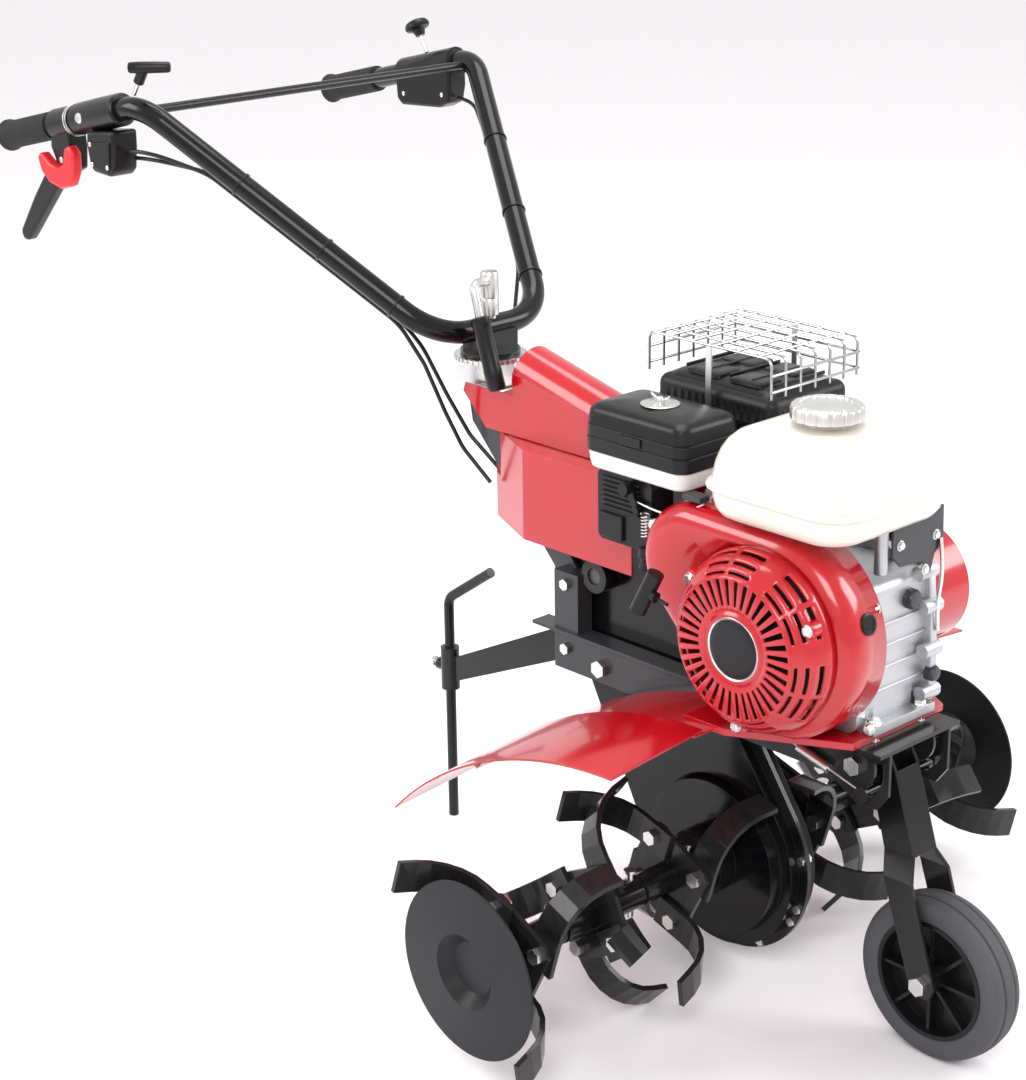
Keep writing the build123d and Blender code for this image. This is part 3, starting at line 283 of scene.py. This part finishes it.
def wire(name, points, radius, finish, body, *stands_for, slot=None, smooth=True, closed=False):
    """Round wire or sheath along points in metres, on a smooth line unless told otherwise."""
    data = bpy.data.curves.new(name, "CURVE")
    data.dimensions = "3D"
    data.bevel_depth, data.bevel_resolution, data.resolution_u = radius / 1000, 4, 10
    data.use_fill_caps = True
    spline = data.splines.new("NURBS" if smooth else "POLY")
    spline.points.add(len(points) - 1)
    for place, point in zip(spline.points, points):
        place.co = (*point, 1)
    if smooth:
        spline.order_u = 3
        spline.use_endpoint_u = not closed
    spline.use_cyclic_u = closed
    data.materials.append(finish)
    obj = bpy.data.objects.new(name, data)
    bpy.context.scene.collection.objects.link(obj)
    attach(obj, body)
    if stands_for:
        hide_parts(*stands_for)
    return obj


def bolt_head(name, place, axis, size, body, finish=ZINC):
    """Hexagon head with a chamfered top and a washer."""
    lathe(name + "_washer", [(size * 1.25, -0.8), (size * 1.3, 0), (size * 1.25, 0.8)], place, axis,
          finish, body, slot="zinc_steel", count=28)
    lathe(name, [(size, 0), (size, size * 0.62), (size * 0.86, size * 0.75), (size * 0.5, size * 0.78)],
          place, axis, finish, body, slot="zinc_steel", count=6)


# ---------------------------------------------------------------- engine
def fuel_tank():
    """Two pressed halves with a rolled seam, and a lobed cap."""
    x, y = (-143, 50), (-260, -71)
    rounded_box("tank_shell", x, y, [
        (585, 26), (587, 16), (591, 8.5), (598, 3.5), (608, 1.2), (618.5, 0), (619, -3.5),
        (620.2, -4.8),
        (622.8, -4.8), (624, -3.5), (624.5, 0), (634, 1.0), (646, 3.4), (658, 7.5), (668, 13.5),
        (676, 22), (681, 34), (683.4, 50), (684, 68)], 40, CREAM, "chassis", "fuel_tank",
        slot="cream_paint")
    cap = at(-50, -165, 684)
    lathe("tank_neck", [(22, -3), (22, 4), (20, 5.5), (12, 6)], cap, (0, 0, 1), CREAM, "chassis",
          slot="cream_paint")
    lathe("filler_cap", [(35, 6.4), (38, 8), (38, 18), (36.5, 21), (32, 22.6), (29, 22.8), (27.5, 21.2),
                         (6, 21.2)], cap, (0, 0, 1), ZINC, "cap", "fuel_cap", slot="zinc_steel",
          count=160, lobes=16, lobe_depth=0.05)
    wire("tank_vent_line", [at(-28, -165, 686), at(0, -165, 687.5), at(26, -166, 682)], 1.3, ZINC,
         "chassis", slot="zinc_steel")


def fan_ring(inset, x, count=96):
    """Ring round the fan housing's outline, moved inwards, at one x."""
    big, small = Vector((-148, 468)), Vector((-38, 515))
    radii = (113 - inset, 68 - inset)
    ring = []
    for k in range(count):
        angle = tau * k / count
        way = Vector((cos(angle), sin(angle)))
        reach = [big.dot(way) + radii[0], small.dot(way) + radii[1]]
        centre, radius = (big, radii[0]) if reach[0] > reach[1] else (small, radii[1])
        point = centre + way * radius
        ring.append(at(x, point.x, max(point.y, 362.0 + inset * 0.4)))
    return ring


def engine_covers():
    """Fan housing with a rounded shoulder, slotted recoil cover, badge disc, plug and screws."""
    rings = [fan_ring(0, -62), fan_ring(0, -100)]
    for step in range(1, 8):
        angle = radians(90 * step / 7)
        rings.append(fan_ring(20 * (1 - cos(angle)), -102 - 20 * sin(angle)))
    rings.append([CRANK + Vector((-0.120, p.y - CRANK.y, p.z - CRANK.z)) for p in (
        CRANK + (q - CRANK) * (0.088 / ((q - CRANK).yz.length)) for q in rings[-1])])
    shell = piece("fan_shell", from_rings("fan_shell", rings, (False, False)), RED, "chassis",
                  "fan_housing", slot="red_paint")
    smooth_by_angle(shell, 30)
    sheet(shell, 0.0015)
    lathe("housing_plug", [(11.5, -2), (11.5, 1.5), (9, 2.4), (7.5, 1.0), (3, 1.2)],
          at(-86, -255, 503), (0, -0.95, 0.31), PLASTIC, "chassis", slot="black_plastic")
    for y, z in ((-247, 512), (-246, 380), (-60, 378), (28, 545)):
        bolt_head("housing_bolt", at(-66, y, z), (-1, 0, 0), 5.5, "chassis")
    recoil_cover()


COVER_SECTORS = 216     # 36 radial slots of three sectors, with three sectors between them
SLOT_BAND = 11
LOUVRE_BANDS = (2, 5, 8)


def recoil_cover():
    """Turned cover with radial slots, rim louvres and a blank badge."""
    profile = [(98, -123), (98.5, -130), (97.5, -138), (95, -144), (92.5, -149), (90, -153),
               (87.3, -156.5), (84.5, -159.5), (81.5, -162), (79, -164), (77, -166.5), (74.5, -168),
               (46, -168), (43, -167), (40, -166), (36.5, -168), (34, -167.4), (32.5, -165)]
    count = COVER_SECTORS
    mesh = bmesh.new()
    rows = []
    for radius, x in profile:
        rows.append([mesh.verts.new((x / 1000, CRANK.y + radius / 1000 * cos(tau * k / count),
                                     CRANK.z + radius / 1000 * sin(tau * k / count)))
                     for k in range(count)])
    for band, (outer, inner) in enumerate(zip(rows, rows[1:])):
        for k in range(count):
            radial = band == SLOT_BAND and k % 6 < 3
            section = (k + 6) % 36
            louvre = band in LOUVRE_BANDS and 5 <= section < 31 and section not in (17, 18)
            if radial or louvre:
                continue
            mesh.faces.new((outer[k], outer[(k + 1) % count], inner[(k + 1) % count], inner[k]))
    mesh.faces.new(rows[-1])
    cover = piece("starter_cover", to_data(mesh, "starter_cover"), RED, "chassis", "recoil_cover",
                  slot="red_paint")
    smooth_by_angle(cover, 40)
    sheet(cover, 0.003)
    hub = CRANK + Vector((-0.165, 0, 0))
    lathe("cover_badge", [(32.4, 0), (32.4, 1.2), (31, 2.2), (24, 2.9), (8, 3.0)], hub, (-1, 0, 0),
          SATIN, "chassis", slot="satin_black", count=96)
    lathe("cover_badge_rim", [(33.4, 0), (34.6, 1.6), (33.4, 2.6), (32.2, 1.6)], hub, (-1, 0, 0), ZINC,
          "chassis", slot="zinc_steel", count=96)
    lathe("cover_inner", [(86, 0), (86, 2), (20, 3)], CRANK + Vector((-0.128, 0, 0)), (-1, 0, 0), SATIN,
          "chassis", slot="satin_black")
    for angle in (35, 155, 275):
        way = Vector((0, cos(radians(angle)), sin(radians(angle))))
        boss = CRANK + Vector((-0.146, 0, 0)) + way * 0.092
        lathe("cover_boss", [(9, -8), (9, 3), (7.5, 5)], boss, (-1, 0, 0), RED, "chassis",
              slot="red_paint", count=32)
        bolt_head("cover_bolt", boss + Vector((-0.005, 0, 0)), (-1, 0, 0), 5.2, "chassis")


def air_cleaner():
    """Stepped black cover, pale lower band, wing nut and plate."""
    x, y = (-118, -22), (-30, 120)
    rounded_box("cleaner_band", x, y,
                [(592, 7), (594, 4.5), (600, 3), (610, 2), (612.5, 2), (613, 6)], 16, WHITE,
                "chassis", "air_cleaner_base", slot="white_plastic")
    rounded_box("cleaner_top", x, y, [
        (612, 1.4), (613, 0), (627, 0.2), (628.4, 1.6), (629.8, 0.4), (641, 0.8), (642.2, 2.2),
        (643.6, 1.2), (655, 2.6), (659, 4), (662.5, 8), (664.5, 13), (665.5, 22), (666.5, 26),
        (667, 40)],
        16, PLASTIC, "chassis", "air_cleaner_cover", slot="black_plastic")
    top = at(-72, 46, 667)
    lathe("cleaner_plate", [(21, 0), (21.5, 0.8), (20, 1.6), (14, 1.0), (8, 2.2), (3, 2.4)], top,
          (0, 0, 1), ZINC, "chassis", slot="zinc_steel")
    lathe("cleaner_nut", [(4.5, 0), (4.5, 5), (3, 8), (1, 8.5)], top, (0, 0, 1), ZINC, "chassis",
          slot="zinc_steel", count=24)
    for side in (-1, 1):
        wing = [top + Vector(p) / 1000 for p in
                ((0, side * 3, 4), (0, side * 8, 7), (0, side * 13, 9), (0, side * 12, 10))]
        wire("cleaner_wing", wing, 1.6, ZINC, "chassis", slot="zinc_steel")
    block("cleaner_clip", (-119.5, -117), (30, 62), (630, 640), PLASTIC, "chassis",
          slot="black_plastic", round_to=0.0008)


def muffler():
    """Black heat shield with a row of slots and raised panels, under a welded wire cage."""
    x, y = (2, 133), (-48, 128)
    stations = [(612, 0), (640, 0), (644, 0), (660, 2), (664, 4), (672, 10), (677, 20), (679, 34),
                (679.5, 48)]
    steps = 5
    mesh = bmesh.new()
    corners = [rounded_ring(x, y, z, inset, 16, steps) for z, inset in stations]
    rows = []
    for ring in corners:
        dense = []
        for k, point in enumerate(ring):
            after = ring[(k + 1) % len(ring)]
            dense.append(point)
            if k % (steps + 1) == steps:
                parts = 27 if abs(after.y - point.y) > abs(after.x - point.x) else 19
                dense += [point.lerp(after, n / parts) for n in range(1, parts)]
        rows.append([mesh.verts.new(point) for point in dense])
    count = len(rows[0])
    for band, (lower, upper) in enumerate(zip(rows, rows[1:])):
        for k in range(count):
            edge = (lower[(k + 1) % count].co - lower[k].co).length
            if band == 2 and k % 2 == 0 and edge > 0.0035:
                continue
            mesh.faces.new((lower[k], lower[(k + 1) % count], upper[(k + 1) % count], upper[k]))
    mesh.faces.new(rows[-1])
    shield = piece("shield", to_data(mesh, "shield"), PLASTIC, "chassis", "muffler_shield",
                   slot="satin_black")
    smooth_by_angle(shield, 30)
    sheet(shield, 0.0018)
    for k, (px, py) in enumerate(((38, 6), (38, 66), (92, 6), (92, 66))):
        rounded_box(f"shield_panel_{k}", (px - 20, px + 20), (py - 22, py + 26),
                    [(676, 0), (680.5, 1), (681.5, 3), (681.8, 8)], 7, PLASTIC, "chassis",
                    slot="satin_black")
    for k in range(5):
        block(f"shield_rib_{k}", (26, 108), (-30 + 4 * k * 8, -27 + 4 * k * 8), (679, 683), PLASTIC,
              "chassis", slot="satin_black", round_to=0.001)
    cage = []
    for gx in (-3, 20, 44, 68, 92, 116, 138):
        cage.append([at(gx, 129, 676), at(gx, 129, 712), at(gx, 126, 718), at(gx, 118, 719.5),
                     at(gx, -38, 719.5), at(gx, -46, 718), at(gx, -49, 712), at(gx, -49, 676)])
    for gy in (-32, 0, 32, 64, 96, 116):
        cage.append([at(-4, gy, 720.5), at(139, gy, 720.5)])
    for gz in (684, 702):
        cage.append([at(-4, 130, gz), at(139, 130, gz), at(139.5, 129, gz), at(139.5, -50, gz),
                     at(139, -50.5, gz), at(-4, -50.5, gz)])
    for k, points in enumerate(cage):
        stands_for = ("wire_guard",) if k == 0 else ()
        wire(f"cage_wire_{k}", points, 1.6, WIRE, "chassis", *stands_for, slot="chrome_wire",
             smooth=False)
    for gx in (-3, 138):
        block("cage_strap", (gx - 1.2, gx + 1.2), (36, 44), (650, 719), ZINC, "chassis",
              slot="zinc_steel", round_to=0.0005)


def crankcase_details():
    """Cast ribs, cover flange and bolts, oil plugs, and the governor plate under the tank."""
    for k, z in enumerate((404, 428, 452, 476)):
        block(f"case_rib_{k}", (-58, 46), (-226.5, -222), (z - 1.5, z + 1.5), CAST, "chassis",
              slot="cast_aluminium", round_to=0.001)
    outline = [(-232, 372), (-236, 400), (-233, 470), (-229, 512), (-214, 530), (-150, 535), (-84, 530),
               (-66, 512), (-62, 470), (-60, 400), (-62, 372)]
    rings = [[at(x, y, z) for y, z in outline] for x in (47, 57)]
    flange = piece("case_cover_flange", from_rings("case_cover_flange", rings), CAST, "chassis",
                   slot="cast_aluminium")
    soften(flange, 0.002)
    for k, (y, z) in enumerate(((-231, 384), (-232, 432), (-230, 480), (-222, 516), (-180, 530),
                                (-110, 530), (-70, 510))):
        lathe(f"cover_lug_{k}", [(8, -22), (8.5, -4), (8.5, 4), (7, 5.5)], at(56, y, z), (1, 0, 0),
              CAST, "chassis", slot="cast_aluminium", count=32)
        bolt_head(f"cover_lug_bolt_{k}", at(61.5, y, z), (1, 0, 0), 5.2, "chassis")
    for k, (place, size) in enumerate(((at(20, -222, 494), 11), (at(52, -228, 404), 9))):
        lathe(f"oil_plug_{k}", [(size, 0), (size, 8), (size - 2, 11), (size - 5, 11.5)], place,
              (0, -1, 0), GREY, "chassis", slot="grey_paint", count=40, lobes=8, lobe_depth=0.06)
    lathe("dipstick_cap", [(12, 0), (14, 2), (14, 12), (12, 14), (4, 14.5)], at(66, -206, 398),
          (0.5, -0.8, 0.2), GREY, "chassis", slot="grey_paint", count=48)
    plate = [(-24, 590), (58, 590), (60, 548), (46, 540), (40, 520), (26, 536), (-10, 538), (-24, 552)]
    rings = [[at(x, y, z) for x, z in plate] for y in (-234, -231)]
    soften(piece("governor_plate", from_rings("governor_plate", rings), GREY, "chassis",
                 slot="grey_paint"), 0.0008)
    for k, (x, z) in enumerate(((46, 560), (-12, 562), (30, 526))):
        bolt_head(f"governor_bolt_{k}", at(x, -234, z), (0, -1, 0), 4.5, "chassis")
    wire("governor_rod",
         [at(52, -236, 556), at(54, -240, 520), at(48, -238, 486), at(54, -236, 452)], 2.2, ZINC,
         "chassis", slot="zinc_steel")
    lathe("tank_post", [(7, 0), (7, 52)], at(-30, -224, 534), (0, 0, 1), CAST, "chassis",
          slot="cast_aluminium", count=32)
    for x in (-37.75, 37.75):
        lathe("foot_washer", [(10, 0), (10, 1.4), (8, 1.8)], at(x, -229, 372), (0, 0, 1), ZINC,
              "chassis", slot="zinc_steel", count=32)


def carburettor_side():
    """Ribbed black control housing, bowl, springs and screws beside the carburettor."""
    for k in range(7):
        z = 580 - 5.5 * k
        block(f"panel_rib_{k}", (-103, -99), (48, 104), (z - 1.4, z + 1.4), PLASTIC, "chassis",
              slot="black_plastic", round_to=0.0008)
    block("panel_face", (-104, -99), (72, 108), (512, 540), SATIN, "chassis", slot="satin_black",
          round_to=0.0015)
    lathe("fuel_tap", [(11, 0), (11, 10), (8, 13), (8, 22), (5, 24)], at(-98, 36, 512), (-0.2, 0, -1),
          SATIN, "chassis", slot="satin_black", count=40)
    lathe("bowl_screw", [(7, 0), (7, 4), (5, 5.5)], at(-104, 22, 545), (-1, 0, 0.3), ZINC, "chassis",
          slot="zinc_steel", count=6)
    coil = []
    for k in range(60):
        angle = tau * k / 8
        coil.append(at(-106 + 5 * cos(angle), 34 + 5 * sin(angle), 528 + 0.45 * k))
    wire("idle_spring", coil, 0.8, ZINC, "chassis", slot="zinc_steel")
    wire("throttle_rod",
         [at(-104, 60, 566), at(-106, 20, 560), at(-110, -20, 566), at(-108, -52, 586)], 1.4, ZINC,
         "chassis", slot="zinc_steel")
    block("tank_bracket", (-112, -96), (-50, -24), (586, 593), GREY, "chassis", slot="grey_paint",
          round_to=0.0015)


# ---------------------------------------------------------------- handlebar and wheel
def on_arm(side, y, lift=0.0):
    """Point on the middle of a handle's straight run."""
    share = (y - 707) / 300
    return at(side * (262 - 3 * share), y, 935 - 70 * share + lift)


ARM_WAY = (0, 0.974, -0.227)


def clamp_handle():
    """Plated post and hook with a black grip."""
    lathe("clamp_post", [(9.4, 0), (10.9, 1.2), (10.9, 20), (10.3, 21), (11, 22), (11, 50), (9.6, 52.6),
                         (3, 53)], at(0, 394, 691), (0, 0, 1), ZINC, "clamp", "clamp_lever",
          slot="zinc_steel")
    wire("clamp_hook", [at(-4, 392, 730), at(-20, 385, 736), at(-42, 374, 738), at(-46, 368, 724),
                        at(-45, 362, 702)], 5.4, ZINC, "clamp", slot="zinc_steel")
    lathe("clamp_grip", [(9, 0), (11.6, 1.5), (12, 9), (11.2, 11), (10.6, 14), (10.4, 60), (11, 63),
                         (10.8, 84), (9, 87.5), (4, 88.5)], at(-45, 362, 702), (0, -29, -84), PLASTIC,
          "clamp", slot="black_plastic")


def right_controls():
    """Sleeve, switch box, bracket, lever, latch and T-shaped pull knob."""
    lathe("right_sleeve", [(17, 0), (19.6, 2), (20, 40), (19.4, 96), (18, 98)], on_arm(-1, 744),
          ARM_WAY, PLASTIC, "handlebar", slot="black_plastic")
    side_moulding("right_box", [(744, 902), (800, 896), (802, 880), (797, 856), (790, 848), (756, 846),
                                (748, 854), (744, 880)], (-280, -244), PLASTIC, "handlebar",
                  "right_control_box", slot="black_plastic", round_to=0.004)
    side_moulding("right_box_lid", [(750, 888), (794, 884), (792, 862), (786, 854), (760, 852),
                                    (752, 858)], (-282, -279), PLASTIC, "handlebar",
                  slot="black_plastic", round_to=0.001)
    for y, z in ((756, 858), (788, 858), (790, 882)):
        lathe("box_screw", [(3, 0), (3, 1.2), (2, 1.8)], at(-281.6, y, z), (-1, 0, 0), ZINC,
              "handlebar", slot="zinc_steel", count=24)
    lathe("sleeve_bolt", [(6.5, 0), (6.5, 3), (4.5, 5)], on_arm(-1, 812) + Vector((-0.018, 0, 0)),
          (-1, 0, 0), ZINC, "handlebar", slot="zinc_steel", count=32)
    for y in (843.5, 848.5):
        lathe("sleeve_ring", [(18.6, 0), (19.9, 0.4), (19.9, 1.6), (18.6, 2)], on_arm(-1, y), ARM_WAY,
              ZINC, "handlebar", slot="zinc_steel", hoop=True)
    lathe("bracket_sleeve", [(16, 0), (19, 1), (19, 40), (17, 42)], on_arm(-1, 852), ARM_WAY, PLASTIC,
          "handlebar", slot="black_plastic")
    side_moulding("bracket_web", [(850, 896), (890, 888), (892, 866), (880, 846), (862, 836),
                                  (850, 842), (847, 868)], (-274, -248), PLASTIC, "handlebar",
                  "lever_bracket", slot="black_plastic", round_to=0.003)
    lathe("lever_pin", [(4.5, 0), (4.5, 1.6), (3, 2.4)], at(-274, 868, 852), (-1, 0, 0), ZINC,
          "handlebar", slot="zinc_steel", count=32)
    side_moulding("lever_blade", [(858, 850), (866, 862), (880, 858), (914, 836), (950, 796),
                                  (986, 750), (987, 742), (981, 735), (972, 736), (936, 772),
                                  (902, 806), (870, 838)], (-269, -253), PLASTIC, "clutch",
                  "clutch_lever", slot="black_plastic", round_to=0.0045)
    side_moulding("latch_claw", [(826, 866), (836, 875), (846, 870), (850, 852), (862, 844),
                                 (880, 848), (900, 860), (907, 853), (900, 836), (884, 824),
                                 (858, 819), (838, 825), (828, 842)], (-285, -271), LATCH_RED,
                  "latch", "safety_latch", slot="red_plastic", round_to=0.003)
    rise = Vector((0, -0.58, 0.815))
    foot = at(-261.8, 718.8, 946.5)
    top = foot + rise * 0.036
    across = Vector((0.73, -0.68, 0))
    lathe("right_knob_rod", [(2.6, 0), (2.6, 30)], foot, rise, ZINC, "right_knob", slot="zinc_steel")
    lathe("right_knob_stem", [(5, 0), (6.4, 1), (6.6, 22)], top - rise * 0.018, rise, PLASTIC,
          "right_knob", slot="black_plastic")
    lathe("right_knob_bar", [(3, 0), (5.4, 0.8), (6.4, 3), (7, 14), (6.8, 30), (6.4, 47), (5.4, 49.4),
                             (3, 50)], top + rise * 0.005 - across * 0.019, across, PLASTIC,
          "right_knob", "right_pull_knob", slot="black_plastic")


def left_controls():
    """Switch housing and mushroom knob on the far arm, and ties along both arms."""
    lathe("left_sleeve", [(16, 0), (19.4, 2), (19.6, 110), (16, 112)], on_arm(1, 738), ARM_WAY, PLASTIC,
          "handlebar", slot="black_plastic")
    side_moulding("left_box", [(738, 934), (752, 938), (838, 917), (848, 896), (846, 870), (836, 862),
                               (760, 866), (742, 874), (737, 896)], (244, 275), PLASTIC, "handlebar",
                  "left_control_housing", slot="black_plastic", round_to=0.004)
    for y, z in ((752, 884), (830, 878)):
        lathe("left_screw", [(3, 0), (3, 1.2), (2, 1.8)], at(244, y, z), (-1, 0, 0), ZINC, "handlebar",
              slot="zinc_steel", count=24)
    foot, rise = at(261.2, 800.3, 933.9), Vector((0, 0.49, 0.872))
    lathe("left_knob_rod", [(2.6, 0), (2.6, 32)], foot, rise, ZINC, "left_knob", slot="zinc_steel")
    lathe("left_knob_cap", [(6, -12), (7.5, -8), (9, -4), (15.5, -2), (17, 1), (16.6, 4), (14, 7.5),
                            (8, 9.6), (2, 10)], foot + rise * 0.036, rise, PLASTIC, "left_knob",
          "left_pull_knob", slot="black_plastic")
    low, high = Vector((82, 394, 677)), Vector((262, 707, 935))
    for side in (-1, 1):
        for share in (0.34, 0.62, 0.86):
            place = high.lerp(low, share)
            way = (low - high).normalized()
            lathe("arm_tie", [(13.6, -1.6), (14.8, -1.4), (14.8, 1.4), (13.6, 1.6)],
                  at(side * place.x, place.y, place.z), (side * way.x, way.y, way.z), PLASTIC,
                  "handlebar", slot="black_plastic", hoop=True)
    for side in (-1, 1):
        profile = [(14, 0), (17.2, 1)]
        for groove in range(16):
            start = 5 + groove * 6
            profile += [(17.4, start), (16.7, start + 0.8), (16.7, start + 1.6), (17.4, start + 2.4)]
        profile += [(17.5, 101), (19.6, 104), (20, 107), (18, 109.6), (12, 110.4)]
        stands_for = ("hand_grips",) if side < 0 else ()
        lathe("soft_grip", profile, on_arm(side, 902), ARM_WAY, RUBBER, "handlebar", *stands_for,
              slot="rubber_grip")


def front_tyre():
    """Solid tyre with a ribbed tread."""
    half = [(67.2, -20), (73, -21.4), (79, -22), (85.6, -21), (89.4, -18), (91, -14), (91.4, -10),
            (90.2, -9.2), (90.2, -7.6), (92.2, -6.8), (92.6, -3)]
    profile = half + [(radius, -along) for radius, along in reversed(half)]
    lathe("tyre_ribbed", profile, at(0, -301, 92.6), (1, 0, 0), TYRE, "wheel", "wheel_tyre",
          slot="tyre_rubber", count=120, hoop=True)


fuel_tank()
clamp_handle()
right_controls()
left_controls()
front_tyre()
engine_covers()
air_cleaner()
muffler()
crankcase_details()
carburettor_side()


# ---------------------------------------------------------------- stage, light and camera
def stage():
    """Pale floor that runs up into a backdrop, and soft studio lamps."""
    bpy.ops.mesh.primitive_plane_add(size=40, location=(0, 0, 0))
    floor = bpy.context.object
    floor.name = "floor"
    floor.data.materials.append(
        material("pale_floor", (0.90, 0.88, 0.90), 0.55, grain=30, bump=0.0, shade=0.01))
    world = bpy.data.worlds.new("studio")
    bpy.context.scene.world = world
    world.use_nodes = True
    world.node_tree.nodes["Background"].inputs["Color"].default_value = (1.0, 0.985, 0.995, 1)
    world.node_tree.nodes["Background"].inputs["Strength"].default_value = 1.0
    for place, aim, size, power in (
        ((-2.6, -2.2, 3.0), (0, 0, 0.5), 1.8, 75),
        ((2.6, -2.4, 2.2), (0, 0, 0.4), 1.6, 60),
        ((-2.2, 1.8, 2.0), (0, 0, 0.5), 1.4, 40),
        ((0.4, 0.4, 3.4), (0, 0, 0.3), 1.6, 45),
    ):
        data = bpy.data.lights.new("softbox", "AREA")
        data.size, data.energy = size, power
        lamp = bpy.data.objects.new("softbox", data)
        lamp.location = place
        lamp.rotation_euler = (Vector(aim) - Vector(place)).to_track_quat("-Z", "Y").to_euler()
        bpy.context.scene.collection.objects.link(lamp)
    bpy.context.scene.view_settings.view_transform = "Standard"


def camera():
    """Camera at the front right, a little above the handlebar."""
    data = bpy.data.cameras.new("camera")
    data.sensor_width, data.lens = 36.0, 78.7
    cam = bpy.data.objects.new("camera", data)
    azimuth, elevation, roll = radians(-42.53), radians(19.47), radians(-0.85)
    back = Vector((sin(azimuth) * cos(elevation), -cos(azimuth) * cos(elevation), sin(elevation)))
    right = Vector((cos(azimuth), sin(azimuth), 0))
    up = back.cross(right)
    side = right * cos(roll) + up * sin(roll)
    top = up * cos(roll) - right * sin(roll)
    turn = Matrix((side, top, back)).transposed().to_4x4()
    cam.matrix_world = Matrix.Translation(at(-1822.3, -1627.2, 1370.0)) @ turn
    bpy.context.scene.collection.objects.link(cam)
    bpy.context.scene.camera = cam


stage()
camera()
